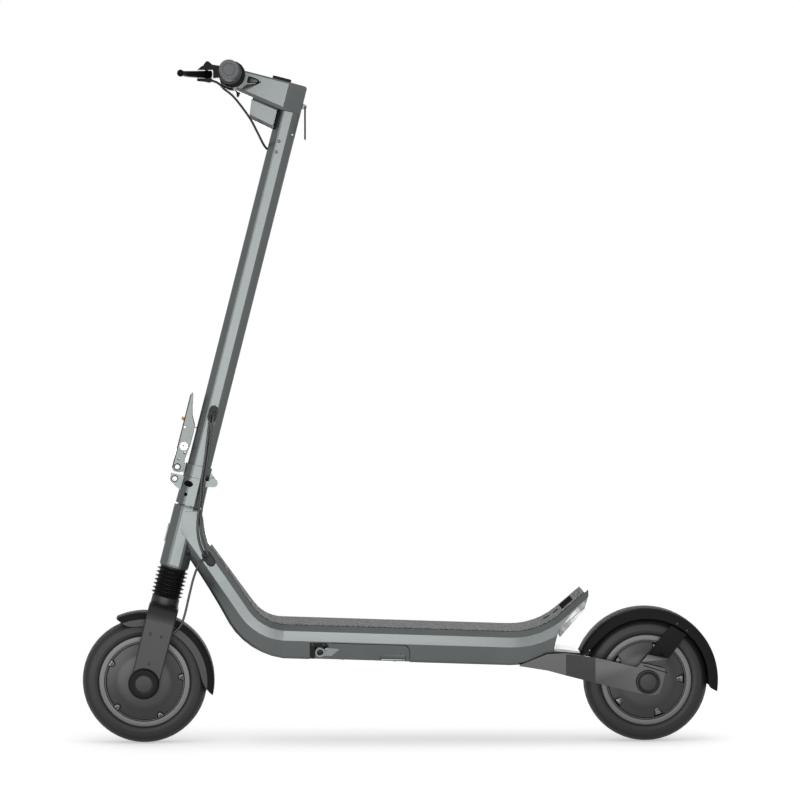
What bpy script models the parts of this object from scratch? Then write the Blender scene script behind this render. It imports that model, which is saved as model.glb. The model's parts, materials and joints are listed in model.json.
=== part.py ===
"""Folding electric scooter, an assembly of separate pieces.

Metres, +Z up. The front points to -X, and the rider's left side to -Y. The origin is on the ground, midway
between the front tyre and the rear mudguard. Pieces of the front are drawn in steering coordinates, where x
is the distance behind the steering axis and z the distance along it, counted from the front axle.
"""
import math
from collections import namedtuple

import bmesh
import bpy
from mathutils import Vector

for old in list(bpy.data.objects):
    bpy.data.objects.remove(old, do_unlink=True)

# Driving dimensions of the whole scooter
TYRE_RADIUS = 0.111
WHEELBASE = 0.893
HEAD_ANGLE = math.radians(14.3)
STEM_LENGTH = 0.647
DECK_HALF_WIDTH = 0.084
DECK_DEPTH = 0.0615
DECK_SLOPE = math.radians(1.93)
BAR_HALF_WIDTH = 0.270

# Clearances
GAP = 0.0003
PIN_GAP = 0.0003
TURNING_GAP = 0.0006

# Wheels
RIM_RADIUS = 0.0805
RIM_HALF_WIDTH = 0.0265
TYRE_HALF_WIDTH = 0.028
COVER_RADIUS = 0.0707
DRUM_RADIUS = 0.062
HUB_HALF_WIDTH = 0.0335
HUB_BORE = 0.0165
BEARING_WIDTH = 0.009
AXLE_RADIUS = 0.006
WHEEL_SEGMENTS = 32
TUBE_SEGMENTS = 16
LUG_COUNT = 5

# Mudguards
FRONT_GUARD_RADIUS = 0.1240
REAR_GUARD_RADIUS = 0.1290
GUARD_WALL = 0.0025

# Fork and its spring boot
LEG_OUTER = 0.062
LEG_THICKNESS = 0.010
LEG_END_HALF = 0.025
LEG_TOP_HALF = 0.0265
CROWN_CLEARANCE = 0.0065
SHOULDER_RADIUS = 0.024
SLIDER_RADIUS = 0.0137
SLIDER_WALL = 0.0027
SLIDER_REACH = 0.135
COLLAR_RADIUS = 0.0244
COLLAR_HEIGHT = 0.0145
BOOT_LENGTH = 0.0503
BOOT_RIBS = 7
BOOT_TIP = 0.0283
BOOT_VALLEY = 0.0237
BOOT_BORE = 0.0215
SPRING_RADIUS = 0.0178
SPRING_WIRE = 0.0016
SPRING_TURNS = 5.0

# Steering bearings and head tube
FLANGE_RADIUS = 0.0235
FLANGE_THICKNESS = 0.003
STEERER_RADIUS = 0.0175
STEERER_WALL = 0.003
HEAD_TUBE_HALF = 0.026
HEAD_TUBE_LENGTH = 0.1107
HEAD_TUBE_BORE = 0.021
HEAD_BEARING_HEIGHT = 0.010

# Folding joint
FOLD_BASE_HEIGHT = 0.0499
FOLD_BASE_HALF = 0.0250
FOLD_HALF = 0.0238
FOLD_SEAM = 0.0004
FOLD_BACK = 0.0315
FOLD_BOSS = 0.0084
FOLD_PIN = 0.0030
KNUCKLE_HALF = 0.010
EAR_OUTER = 0.018
STEM_FOOT_HEIGHT = 0.0217
STEM_PLUG = 0.034

# Latch in front of the folding joint
LEVER_RISE = 0.0103
LEVER_FORWARD = 0.0373
CATCH_DROP = 0.0106
CATCH_FORWARD = 0.0365
TUBE_PIN_RADIUS = 0.0056
TUBE_PIN_WALL = 0.0010
LEVER_LENGTH = 0.1356
LEVER_HALF = 0.0121
LEVER_PLATE = 0.0030
LEVER_FRONT = 0.0455
HOOK_ABOVE_LEVER = 0.0387
HOOK_FORWARD = 0.0350
HOOK_HALF = 0.0028
EAR_GAP_HALF = 0.0038

# Stem, its head and the handlebar
STEM_HALF = 0.021
STEM_WALL = 0.003
HEAD_HEIGHT = 0.0505
HEAD_HALF = 0.0225
BAR_REACH = 0.1155
BAR_BELOW_TOP = 0.0140
BAR_RADIUS = 0.011
BAR_WALL = 0.0021
CLAMP_RADIUS = 0.0165
GRIP_RADIUS = 0.017
GRIP_LENGTH = 0.124
GRIP_FLANGE = 0.0205
POD_RADIUS = 0.0215
BELL_RADIUS = 0.0234
BELL_CENTRE = (0.0035, -0.0021)

# Deck
MAT_THICKNESS = 0.0025
MAT_SHARE = 0.885
EDGE_INSET = 0.0095
SHOULDER_HEIGHT = 0.0090
BAND_HEIGHT = 0.0172
FOOT_EDGE = 0.0045
SIDE_LEAN = math.radians(17.0)
NECK_LEAN = math.radians(38.0)
NECK_HALF_WIDTH = 0.026
NECK_DEPTH = 0.0455
NECK_ANGLE = math.radians(54.6)
NECK_UP_HEAD = 0.2914
NECK_BACK = 0.0226
FRONT_BEND = 0.068
TAIL_SETBACK = 0.1940
TAIL_HEIGHT = 0.2027
UNDERCUT_SETBACK = 0.2003
UNDERCUT_HEIGHT = 0.2029
TAIL_HALF_WIDTH = 0.062
TAIL_ANGLE = math.radians(41.0)
TAIL_LENGTH = 0.128
TAIL_BEND = 0.127
FLARE_POWER = 2.2
BAY_HALF_WIDTH = 0.056
BAY_ROOM = 0.521
BAY_ROOF = 0.009
BELLY_THICKNESS = 0.0025
BATTERY_ROOM = 0.017
CONTROLLER_LENGTH = 0.070

# Kickstand
STAND_LENGTH = 0.150
STAND_THICKNESS = 0.008
STAND_BOSS = 0.0088
STAND_BOLT = 0.0042
PANEL_THICKNESS = 0.0025

# Rear fork
ARM_THICKNESS = 0.009
ARM_FRONT_OUTER = 0.0755
ARM_REAR_OUTER = 0.060

# Cables
CABLE_RADIUS = 0.0021

SMOOTH_ANGLE = math.radians(32)
CYLINDER_SEGMENTS = 12
CLAMP_STEPS = 9

# Positions that follow from the sizes above
TOTAL_LENGTH = TYRE_RADIUS + WHEELBASE + REAR_GUARD_RADIUS
FRONT_AXLE_X = TYRE_RADIUS - TOTAL_LENGTH / 2
REAR_AXLE_X = FRONT_AXLE_X + WHEELBASE
BAY_LENGTH = WHEELBASE - BAY_ROOM
BATTERY_LENGTH = BAY_LENGTH - CONTROLLER_LENGTH - BATTERY_ROOM
CROWN_UNDERSIDE = FRONT_GUARD_RADIUS + CROWN_CLEARANCE
CROWN_TOP = CROWN_UNDERSIDE + LEG_THICKNESS
COLLAR_TOP = CROWN_TOP + COLLAR_HEIGHT
BOOT_BOTTOM = COLLAR_TOP + GAP
BOOT_TOP = BOOT_BOTTOM + BOOT_LENGTH
FLANGE_BOTTOM = BOOT_TOP + GAP
HEAD_TUBE_BOTTOM = FLANGE_BOTTOM + FLANGE_THICKNESS + GAP
HEAD_TUBE_TOP = HEAD_TUBE_BOTTOM + HEAD_TUBE_LENGTH
FOLD_BASE_BOTTOM = HEAD_TUBE_TOP + 0.003
SEAM = FOLD_BASE_BOTTOM + FOLD_BASE_HEIGHT
STEM_FOOT_BOTTOM = SEAM + FOLD_SEAM
STEM_BOTTOM = STEM_FOOT_BOTTOM + STEM_FOOT_HEIGHT + GAP
STEM_TOP = STEM_BOTTOM + STEM_LENGTH
HEAD_BOTTOM = STEM_TOP + GAP
HEAD_TOP = HEAD_BOTTOM + HEAD_HEIGHT
BAR_HEIGHT = HEAD_TOP - BAR_BELOW_TOP
FOLD_HEIGHT = SEAM - 0.0006
GRIP_INNER = BAR_HALF_WIDTH - GRIP_LENGTH
LEVER_PIVOT = Vector((-LEVER_FORWARD, 0, STEM_FOOT_BOTTOM + LEVER_RISE))
CATCH_PIVOT = Vector((-CATCH_FORWARD, 0, SEAM - CATCH_DROP))
HOOK_PIVOT = Vector((-HOOK_FORWARD, 0, LEVER_PIVOT.z + HOOK_ABOVE_LEVER))
SAFETY_PIVOT = Vector((-0.0412, 0, LEVER_PIVOT.z + 0.0718))

Carrier = namedtuple("Carrier", "empty at")


# Placing

def carrier(name, at, parent=None, turn=0.0, lean=0.0, own=False):
    """An empty on a joint's axis, turned about Y or leant about X. Meshes on it keep its parent's
    coordinates, unless it is turned, leant or marked as having its own. Then they count from the empty."""
    empty = bpy.data.objects.new(name, None)
    bpy.context.scene.collection.objects.link(empty)
    at = Vector(at)
    empty.location = at
    if parent:
        empty.parent = parent.empty
        empty.location = at - parent.at
    empty.rotation_euler = (lean, turn, 0)
    if turn or lean or own:
        return Carrier(empty, Vector())
    return Carrier(empty, at)


def steering_to_world(x, y, z):
    """A point of the steering coordinates, in world coordinates."""
    sin, cos = math.sin(HEAD_ANGLE), math.cos(HEAD_ANGLE)
    return Vector((FRONT_AXLE_X + x * cos + z * sin, y, TYRE_RADIUS - x * sin + z * cos))


def look(obj, colour, roughness, metallic=0.0):
    """Gives an object its own material."""
    material = bpy.data.materials.new(obj.name)
    material.use_nodes = True
    shader = material.node_tree.nodes["Principled BSDF"]
    shader.inputs["Base Color"].default_value = (*colour, 1.0)
    shader.inputs["Roughness"].default_value = roughness
    shader.inputs["Metallic"].default_value = metallic
    obj.data.materials.append(material)
    return obj


PAINT = ((0.085, 0.092, 0.094), 0.42, 0.6)
DARK_PAINT = ((0.040, 0.042, 0.043), 0.5, 0.4)
ALLOY = ((0.36, 0.38, 0.38), 0.38, 0.8)
STEEL = ((0.62, 0.62, 0.62), 0.25, 1.0)
PLASTIC = ((0.020, 0.020, 0.021), 0.5, 0.0)
RUBBER = ((0.016, 0.016, 0.017), 0.8, 0.0)
GRIP_TAPE = ((0.16, 0.16, 0.16), 0.95, 0.0)
CLEAR = ((0.85, 0.87, 0.88), 0.1, 0.0)
ORANGE = ((0.85, 0.28, 0.03), 0.5, 0.0)
PACK_BLUE = ((0.03, 0.10, 0.35), 0.5, 0.0)


def add(name, shape, holder=None, finish=PAINT):
    """A mesh object from (vertices, faces), closed, with its faces pointing out."""
    verts, faces = shape
    mesh = bpy.data.meshes.new(name)
    mesh.from_pydata([tuple(v) for v in verts], [], faces)
    form = bmesh.new()
    form.from_mesh(mesh)
    bmesh.ops.remove_doubles(form, verts=form.verts, dist=1e-6)
    bmesh.ops.delete(form, geom=[edge for edge in form.edges if edge.is_wire], context="EDGES")
    bmesh.ops.recalc_face_normals(form, faces=form.faces)
    form.to_mesh(mesh)
    form.free()
    mesh.shade_smooth()
    mesh.set_sharp_from_angle(angle=SMOOTH_ANGLE)
    obj = bpy.data.objects.new(name, mesh)
    bpy.context.scene.collection.objects.link(obj)
    if holder:
        obj.parent = holder.empty
        obj.location = -holder.at
    if finish:
        look(obj, *finish)
    return obj


def tool(target, operation, shape, holder=None):
    """Cuts a shape from the target, or joins it on, with a Boolean modifier."""
    guide = add(f"{target.name}_{operation.lower()}_{len(target.modifiers)}", shape, holder, None)
    guide.hide_render = True
    guide.display_type = "WIRE"
    modifier = target.modifiers.new(guide.name, "BOOLEAN")
    modifier.operation = operation
    modifier.solver = "EXACT"
    modifier.object = guide
    return target


def cut(target, shape, holder=None):
    return tool(target, "DIFFERENCE", shape, holder)


def join(target, shape, holder=None):
    return tool(target, "UNION", shape, holder)


def soften(obj, width, segments=1, angle=40):
    """Bevels the edges that are sharper than the angle."""
    modifier = obj.modifiers.new("softened_edges", "BEVEL")
    modifier.width = width
    modifier.segments = segments
    modifier.limit_method = "ANGLE"
    modifier.angle_limit = math.radians(angle)
    return obj


# Shapes, each as (vertices, faces)

def lofted(rings, closed=False):
    """Rings of equally many points, bridged in order, with flat ends unless the loft closes on itself."""
    count, size = len(rings), len(rings[0])
    verts = [point for ring in rings for point in ring]
    faces = []
    for i in range(count if closed else count - 1):
        j = (i + 1) % count
        for k in range(size):
            m = (k + 1) % size
            faces.append((i * size + k, i * size + m, j * size + m, j * size + k))
    if not closed:
        faces.append(tuple(range(size)))
        faces.append(tuple(range((count - 1) * size, count * size)))
    return verts, faces


def prism(outline, low, high, axis="Y"):
    """An outline of two coordinates, extruded along the third."""
    order = {"X": (2, 0, 1), "Y": (0, 2, 1), "Z": (0, 1, 2)}[axis]
    return lofted([[[(a, b, c)[i] for i in order] for a, b in outline] for c in (low, high)])


def block(low, high):
    return prism([(low[0], low[2]), (high[0], low[2]), (high[0], high[2]), (low[0], high[2])], low[1],
                 high[1])


def disc(radius, centre=(0, 0), segments=CYLINDER_SEGMENTS):
    """The outline of a circle."""
    steps = [2 * math.pi * k / segments for k in range(segments)]
    return [(centre[0] + radius * math.cos(a), centre[1] + radius * math.sin(a)) for a in steps]


def rod(radius, centre, low, high, axis="Y", segments=CYLINDER_SEGMENTS):
    return prism(disc(radius, centre, segments), low, high, axis)


def turned(profile, segments, axis="Y", centre=(0, 0, 0)):
    """A closed profile of (radius, height) points, turned about an axis through the centre."""
    rings = []
    for k in range(segments):
        a = 2 * math.pi * k / segments
        if axis == "Y":
            ring = [(r * math.cos(a), h, r * math.sin(a)) for r, h in profile]
        else:
            ring = [(r * math.cos(a), r * math.sin(a), h) for r, h in profile]
        rings.append([Vector(p) + Vector(centre) for p in ring])
    return lofted(rings, closed=True)


def rounded(points, radius, steps=3):
    """A closed outline with its corners rounded. The radius is one value, or one for each corner."""
    outline = []
    count = len(points)
    for i, point in enumerate(points):
        r = radius[i] if isinstance(radius, (list, tuple)) else radius
        here = Vector(point)
        back = (Vector(points[i - 1]) - here).normalized()
        ahead = (Vector(points[(i + 1) % count]) - here).normalized()
        half = back.angle(ahead) / 2
        if r <= 0 or half > math.radians(88):
            outline.append(tuple(here))
            continue
        centre = here + (back + ahead).normalized() * r / math.sin(half)
        start = here + back * r / math.tan(half) - centre
        end = here + ahead * r / math.tan(half) - centre
        sweep = start.angle_signed(end)
        for k in range(steps + 1):
            turn = sweep * k / steps
            c, s = math.cos(turn), -math.sin(turn)
            outline.append((centre.x + start.x * c - start.y * s, centre.y + start.x * s + start.y * c))
    return outline


def octagon(half, flat=0.4142, softness=0.0):
    """An octagon, half its width across the flats, with its corners rounded if softness isn't zero."""
    side = half * flat
    points = [(half, -side), (half, side), (side, half), (-side, half), (-half, side), (-half, -side),
              (-side, -half), (side, -half)]
    return rounded(points, softness, 1) if softness else points


def bent_path(points, radii, steps):
    """A path with its corners rounded, as rows of (a, b, heading)."""
    headings = [math.atan2(q[1] - p[1], q[0] - p[0]) for p, q in zip(points, points[1:])]
    rows = [(*points[0], headings[0])]
    for corner, radius, h0, h1 in zip(points[1:-1], radii, headings, headings[1:]):
        turn = math.remainder(h1 - h0, 2 * math.pi)
        side = math.copysign(1.0, turn)
        reach = radius * math.tan(abs(turn) / 2)
        start = (corner[0] - reach * math.cos(h0), corner[1] - reach * math.sin(h0))
        centre = (start[0] - side * radius * math.sin(h0), start[1] + side * radius * math.cos(h0))
        for k in range(steps + 1):
            h = h0 + turn * k / steps
            rows.append((centre[0] + side * radius * math.sin(h), centre[1] - side * radius * math.cos(h),
                         h))
    rows.append((*points[-1], headings[-1]))
    return rows


def smooth_route(route, spacing):
    """Points of a smooth curve through a cable's route, closely spaced."""
    points = [Vector(p) for p in route]
    points = [points[0] * 2 - points[1], *points, points[-1] * 2 - points[-2]]
    curve = []
    for p0, p1, p2, p3 in zip(points, points[1:], points[2:], points[3:]):
        steps = max(1, round((p2 - p1).length / spacing))
        for k in range(steps):
            t = k / steps
            square = 2 * p0 - 5 * p1 + 4 * p2 - p3
            cube = 3 * p1 - p0 - 3 * p2 + p3
            curve.append((2 * p1 + (p2 - p0) * t + square * t ** 2 + cube * t ** 3) / 2)
    curve.append(points[-2])
    return curve


def cable(name, points, radius, holder, finish, sides=2, cyclic=False):
    """A round cable or wire through the given points."""
    curve = bpy.data.curves.new(name, "CURVE")
    curve.dimensions = "3D"
    curve.bevel_depth = radius
    curve.bevel_resolution = sides
    curve.use_fill_caps = not cyclic
    spline = curve.splines.new("POLY")
    spline.points.add(len(points) - 1)
    spline.use_cyclic_u = cyclic
    for slot, point in zip(spline.points, points):
        slot.co = (*point, 1.0)
    obj = bpy.data.objects.new(name, curve)
    bpy.context.scene.collection.objects.link(obj)
    if holder:
        obj.parent = holder.empty
        obj.location = -holder.at
    return look(obj, *finish)


# Carriers: one empty on each joint's axis

steering = carrier("steering_axis", (FRONT_AXLE_X, 0, TYRE_RADIUS), turn=HEAD_ANGLE)
fork = carrier("fork_slide_axis", (0, 0, 0), steering)
front_wheel = carrier("front_wheel_axis", (0, 0, 0), fork, own=True)
fold = carrier("fold_axis", (FOLD_BACK, 0, FOLD_HEIGHT), steering)
latch = carrier("latch_lever_axis", LEVER_PIVOT, fold)
hook = carrier("latch_hook_axis", HOOK_PIVOT, latch)
safety = carrier("safety_catch_axis", SAFETY_PIVOT, latch)
rear_wheel = carrier("rear_wheel_axis", (REAR_AXLE_X, 0, TYRE_RADIUS), own=True)
rear = carrier("rear_axle_point", (REAR_AXLE_X, 0, TYRE_RADIUS), own=True)


# Wheels

def tyre_profile():
    """Right and left halves of a rounded tyre, from the bead round the tread."""
    seat = RIM_RADIUS + GAP
    half = [(seat, 0.90), (seat + 0.009, 1.0), (TYRE_RADIUS - 0.010, 0.93), (TYRE_RADIUS - 0.0035, 0.66),
            (TYRE_RADIUS - 0.0008, 0.32)]
    right = [(r, share * TYRE_HALF_WIDTH) for r, share in half]
    return right + [(TYRE_RADIUS, 0.0)] + [(r, -y) for r, y in reversed(right)]


def hub_profile():
    """Rim and drum, open to the left, with a domed wall on the right."""
    step = RIM_HALF_WIDTH - 0.0043
    lip = COVER_RADIUS + GAP
    dome = [(0.046, 0.0290), (0.030, 0.0325), (HUB_BORE, HUB_HALF_WIDTH)]
    inner = [(r, y - 0.005) for r, y in (dome[0], dome[-1])]
    left = [(RIM_RADIUS, -RIM_HALF_WIDTH), (lip, -RIM_HALF_WIDTH), (lip, -step), (DRUM_RADIUS, -step)]
    right = [(DRUM_RADIUS, step - 0.002), *inner, *reversed(dome), (lip, step), (lip, RIM_HALF_WIDTH),
             (RIM_RADIUS, RIM_HALF_WIDTH)]
    return left + right


def cover_profile():
    """The dished and domed cover that closes the drum."""
    back = -(RIM_HALF_WIDTH - 0.0043) - GAP
    face = back - 0.0022
    outer = [(COVER_RADIUS, back), (COVER_RADIUS, face), (0.0575, face), (0.046, -0.0290), (0.030, -0.0325),
             (HUB_BORE, -HUB_HALF_WIDTH)]
    inner = [(HUB_BORE, -HUB_HALF_WIDTH + 0.004), (0.030, -0.0290), (0.046, -0.0252), (0.0575, back)]
    return outer + inner


def lugs(cover, circle, phase, holder, size, depth):
    """Screw lugs on a cover, evenly spaced round a circle."""
    face = -(RIM_HALF_WIDTH - 0.0043) - GAP - 0.001
    for k in range(LUG_COUNT):
        a = phase + 2 * math.pi * k / LUG_COUNT
        centre = (circle * math.cos(a), circle * math.sin(a))
        join(cover, rod(size, centre, face - depth, face, segments=8), holder)


def wheel(end, holder, lug_circle, lug_phase, lug_size):
    """Tyre, hub and cover of one wheel."""
    add(f"{end}_tyre", turned(tyre_profile(), WHEEL_SEGMENTS), holder, RUBBER)
    add(f"{end}_hub", turned(hub_profile(), WHEEL_SEGMENTS), holder, PAINT)
    cover = add(f"{end}_hub_cover", turned(cover_profile(), WHEEL_SEGMENTS), holder, PAINT)
    lugs(cover, lug_circle, lug_phase, holder, lug_size, 0.0034)


def bearing(name, holder, low, high, inner, outer, axis="Y"):
    """A bearing as one ring, with a broken outer edge."""
    edge = (high - low) * 0.06
    profile = [(inner, low), (outer - edge, low), (outer, low + edge), (outer, high - edge),
               (outer - edge, high), (inner, high)]
    return add(name, turned(profile, TUBE_SEGMENTS, axis), holder, STEEL)


FRONT_LUG_CIRCLE = 0.0647
REAR_LUG_CIRCLE = 0.0605
wheel("front", front_wheel, FRONT_LUG_CIRCLE, math.radians(7) + HEAD_ANGLE, 0.0048)
wheel("rear", rear_wheel, REAR_LUG_CIRCLE, math.radians(2), 0.0052)
bearing("front_wheel_bearing", front_wheel, -HUB_HALF_WIDTH, HUB_HALF_WIDTH, AXLE_RADIUS + PIN_GAP,
        HUB_BORE - GAP)
for side, low in (("left", -HUB_HALF_WIDTH), ("right", HUB_HALF_WIDTH - BEARING_WIDTH)):
    bearing(f"rear_wheel_bearing_{side}", rear_wheel, low, low + BEARING_WIDTH, AXLE_RADIUS + PIN_GAP,
            HUB_BORE - GAP)


def axle(name, holder, outer, cap, face, plate=None):
    """An axle with a round cap outside each arm, and a brake plate inside if one is given."""
    inside = outer + GAP
    out = inside + 0.006
    left = [(0, -out + 0.001), (face, -out + 0.001), (face, -out), (cap - 0.0015, -out),
            (cap, -out + 0.0015), (cap, -inside), (AXLE_RADIUS, -inside)]
    middle = []
    if plate:
        radius, far, near = plate
        middle = [(AXLE_RADIUS, -far), (radius, -far), (radius, -near), (AXLE_RADIUS, -near)]
    right = [(r, -y) for r, y in reversed(left)]
    return add(name, turned(left + middle + right, TUBE_SEGMENTS), holder, DARK_PAINT)


FRONT_CAP = 0.0255
REAR_CAP = 0.0214
CAP_FACE = 0.0157
BRAKE_PLATE = (0.021, 0.0460, 0.0375)
CAM = (0.004, 0.0135)
CAM_RADIUS = 0.003
front_axle = axle("front_axle", fork, LEG_OUTER, FRONT_CAP, CAP_FACE, BRAKE_PLATE)
cut(front_axle, rod(CAM_RADIUS + PIN_GAP, CAM, -BRAKE_PLATE[1] - 0.001, -BRAKE_PLATE[2] - 0.001,
                    segments=12), fork)
axle("rear_axle", rear, ARM_REAR_OUTER, REAR_CAP, CAP_FACE)


def stator():
    """The fixed core of the hub motor, with its ring of teeth."""
    teeth, root, tip = 9, 0.046, 0.0565
    outline = []
    for k in range(teeth):
        a = 2 * math.pi * k / teeth
        for offset, radius in ((-0.10, root), (-0.18, tip), (0.18, tip), (0.10, root)):
            outline.append((radius * math.cos(a + offset), radius * math.sin(a + offset)))
    return prism(outline, -0.014, 0.014)


core = add("motor_stator", stator(), rear, STEEL)
cut(core, rod(AXLE_RADIUS + GAP, (0, 0), -0.02, 0.02), rear)


# Mudguards

def guard(name, holder, radius, half_width, start, end, skirt, taper, wall=GUARD_WALL):
    """An arched guard with side skirts that run out towards both ends. Angles rise from +X towards +Z."""
    stations = 17
    rings = []
    for k in range(stations):
        share = k / (stations - 1)
        angle = start + (end - start) * share
        near = min(share / taper[0], (1 - share) / taper[1], 1.0)
        drop = skirt * (near * near * (3 - 2 * near)) + 0.0008
        side = [(radius - 0.005 - drop, half_width), (radius - 0.005, half_width),
                (radius - 0.0012, half_width - 0.004)]
        inside = [(r - wall, y - wall) for r, y in side]
        inside[0] = (min(side[0][0], inside[1][0] - 0.0005), side[0][1] - wall)
        outer = side + [(radius, 0.0)] + [(r, -y) for r, y in reversed(side)]
        inner = [(r, -y) for r, y in inside] + [(radius - wall, 0.0)] + [(r, y) for r,
                                                                         y in reversed(inside)]
        rings.append([(r * math.cos(angle), y, r * math.sin(angle)) for r, y in outer + inner])
    return add(name, lofted(rings), holder, PLASTIC)


FRONT_GUARD_HALF = 0.0345
REAR_GUARD_HALF = 0.037
front_guard = guard("front_mudguard", fork, FRONT_GUARD_RADIUS, FRONT_GUARD_HALF, math.radians(3.2),
                    math.radians(127.9), 0.0155, (0.10, 0.30))
BOSS_HALF = 0.011
join(front_guard, block((-BOSS_HALF, -BOSS_HALF, FRONT_GUARD_RADIUS - 0.0015),
                        (BOSS_HALF, BOSS_HALF, CROWN_UNDERSIDE - GAP)), fork)
rear_guard = guard("rear_mudguard", rear, REAR_GUARD_RADIUS, REAR_GUARD_HALF, math.radians(-9.0),
                   math.radians(159.0), 0.0165, (0.08, 0.10))
STAY_TOP = [(0.0437, 0.0983), (0.0699, 0.0820)]
STAY_FOOT = [(0.0388, 0.0400), (0.0017, 0.0487)]
FOOT_BLOCK = [(0.0002, 0.0488), (0.0347, 0.0414), (0.0300, 0.0256), (-0.0121, 0.0354)]
for side in (-1, 1):
    inner, plate, outer = REAR_GUARD_HALF - 0.0007, REAR_GUARD_HALF + 0.0045, ARM_REAR_OUTER - 0.002
    spans = sorted((side * inner, side * plate))
    join(rear_guard, prism(STAY_TOP + STAY_FOOT, *spans), rear)
    spans = sorted((side * (inner + 0.001), side * outer))
    join(rear_guard, prism(FOOT_BLOCK, *spans), rear)


# Fork

def fork_legs():
    """Two flat legs and the crown between them, as one bent bar that narrows round the axle."""
    middle = LEG_OUTER - LEG_THICKNESS / 2
    crown = CROWN_UNDERSIDE + LEG_THICKNESS / 2
    path = bent_path([(-middle, 0.0), (-middle, crown), (middle, crown), (middle, 0.0)],
                     [SHOULDER_RADIUS, SHOULDER_RADIUS], 5)
    ends = [math.radians(a) for a in (82, 60, 38, 18)]
    rows = [(-middle, -LEG_END_HALF * math.sin(a), math.pi / 2, LEG_END_HALF * math.cos(a)) for a in ends]
    for y, z, heading in path:
        share = max(0.0, z / crown)
        rows.append((y, z, heading, LEG_END_HALF + (LEG_TOP_HALF - LEG_END_HALF) * share))
    rows += [(middle, z, -math.pi / 2, half) for _, z, _, half in reversed(rows[:len(ends)])]
    rings = []
    half_t, edge = LEG_THICKNESS / 2, 0.0018
    for y, z, heading, half in rows:
        side = Vector((0, -math.sin(heading), math.cos(heading)))
        ring = []
        trim = min(edge, half * 0.4)
        for u, n in ((-half, -half_t + trim), (-half, half_t - trim), (-half + trim, half_t),
                     (half - trim, half_t), (half, half_t - trim), (half, -half_t + trim),
                     (half - trim, -half_t), (-half + trim, -half_t)):
            ring.append(Vector((u + 0.001, y, z)) + side * n)
        rings.append(ring)
    return lofted(rings)


SLIDER_TOP = COLLAR_TOP + SLIDER_REACH
legs = add("front_fork", fork_legs(), fork, PAINT)
join(legs, turned([(0, CROWN_UNDERSIDE + 0.003), (COLLAR_RADIUS, CROWN_UNDERSIDE + 0.003),
                   (COLLAR_RADIUS, COLLAR_TOP - 0.002), (COLLAR_RADIUS - 0.0015, COLLAR_TOP),
                   (SLIDER_RADIUS, COLLAR_TOP), (SLIDER_RADIUS, SLIDER_TOP),
                   (SLIDER_RADIUS - SLIDER_WALL, SLIDER_TOP),
                   (SLIDER_RADIUS - SLIDER_WALL, COLLAR_TOP - 0.004), (0, COLLAR_TOP - 0.004)],
                  TUBE_SEGMENTS, "Z"), fork)
cut(legs, rod(AXLE_RADIUS + GAP, (0, 0), -LEG_OUTER - 0.01, LEG_OUTER + 0.01), fork)

arm_holder = carrier("brake_arm_axis", (CAM[0], 0, CAM[1]), fork)
ARM_TIP = (-0.018, 0.0275)
ARM_INNER = BRAKE_PLATE[1] + 0.0009
brake_arm = add("brake_arm", prism(rounded([(CAM[0] + 0.006, CAM[1] - 0.004),
                                            (CAM[0] + 0.003, CAM[1] + 0.006),
                                            (ARM_TIP[0] - 0.002, ARM_TIP[1] + 0.003),
                                            (ARM_TIP[0] - 0.004, ARM_TIP[1] - 0.004),
                                            (CAM[0] - 0.004, CAM[1] - 0.006)], 0.002, 2),
                                   -ARM_INNER - 0.003, -ARM_INNER), arm_holder, STEEL)
join(brake_arm, rod(CAM_RADIUS, CAM, -ARM_INNER - 0.001, -BRAKE_PLATE[2] - 0.002, segments=12), arm_holder)


# Spring boot and spring

def boot_profile():
    """A ribbed sleeve: each rib is a tip and a valley of the outside, over a plain bore."""
    pitch = BOOT_LENGTH / BOOT_RIBS
    outside = [(BOOT_VALLEY, BOOT_BOTTOM)]
    for k in range(BOOT_RIBS):
        base = BOOT_BOTTOM + pitch * k
        outside += [(BOOT_TIP, base + pitch * 0.5), (BOOT_VALLEY, base + pitch)]
    return outside + [(BOOT_BORE, BOOT_TOP), (BOOT_BORE, BOOT_BOTTOM)]


add("suspension_boot", turned(boot_profile(), TUBE_SEGMENTS, "Z"), steering, RUBBER)

SPRING_LOW = COLLAR_TOP + SPRING_WIRE + GAP
SPRING_HIGH = FLANGE_BOTTOM - SPRING_WIRE - GAP
TURN_POINTS = 9
coil = []
for k in range(round(SPRING_TURNS * TURN_POINTS) + 1):
    a = 2 * math.pi * k / TURN_POINTS
    height = SPRING_LOW + (SPRING_HIGH - SPRING_LOW) * k / (SPRING_TURNS * TURN_POINTS)
    coil.append(Vector((SPRING_RADIUS * math.cos(a), SPRING_RADIUS * math.sin(a), height)))
coil_gap = (SPRING_HIGH - SPRING_LOW) / SPRING_TURNS - 2 * SPRING_WIRE
print(f"suspension spring: least gap between turns {coil_gap * 1000:.2f} mm")
cable("suspension_spring", coil, SPRING_WIRE, steering, STEEL, sides=1)


# Steerer tube and headset

STEERER_TOP = FOLD_BASE_BOTTOM + 0.026
steerer = [(STEERER_RADIUS - STEERER_WALL, FLANGE_BOTTOM), (FLANGE_RADIUS, FLANGE_BOTTOM),
           (FLANGE_RADIUS, FLANGE_BOTTOM + FLANGE_THICKNESS),
           (STEERER_RADIUS, FLANGE_BOTTOM + FLANGE_THICKNESS), (STEERER_RADIUS, STEERER_TOP),
           (STEERER_RADIUS - STEERER_WALL, STEERER_TOP)]
add("steerer_tube", turned(steerer, TUBE_SEGMENTS, "Z"), steering, STEEL)
for name, low in (("lower_head_bearing", HEAD_TUBE_BOTTOM),
                  ("upper_head_bearing", HEAD_TUBE_TOP - HEAD_BEARING_HEIGHT)):
    bearing(name, steering, low, low + HEAD_BEARING_HEIGHT, STEERER_RADIUS + TURNING_GAP,
            HEAD_TUBE_BORE - GAP, "Z")


# Folding joint

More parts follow.
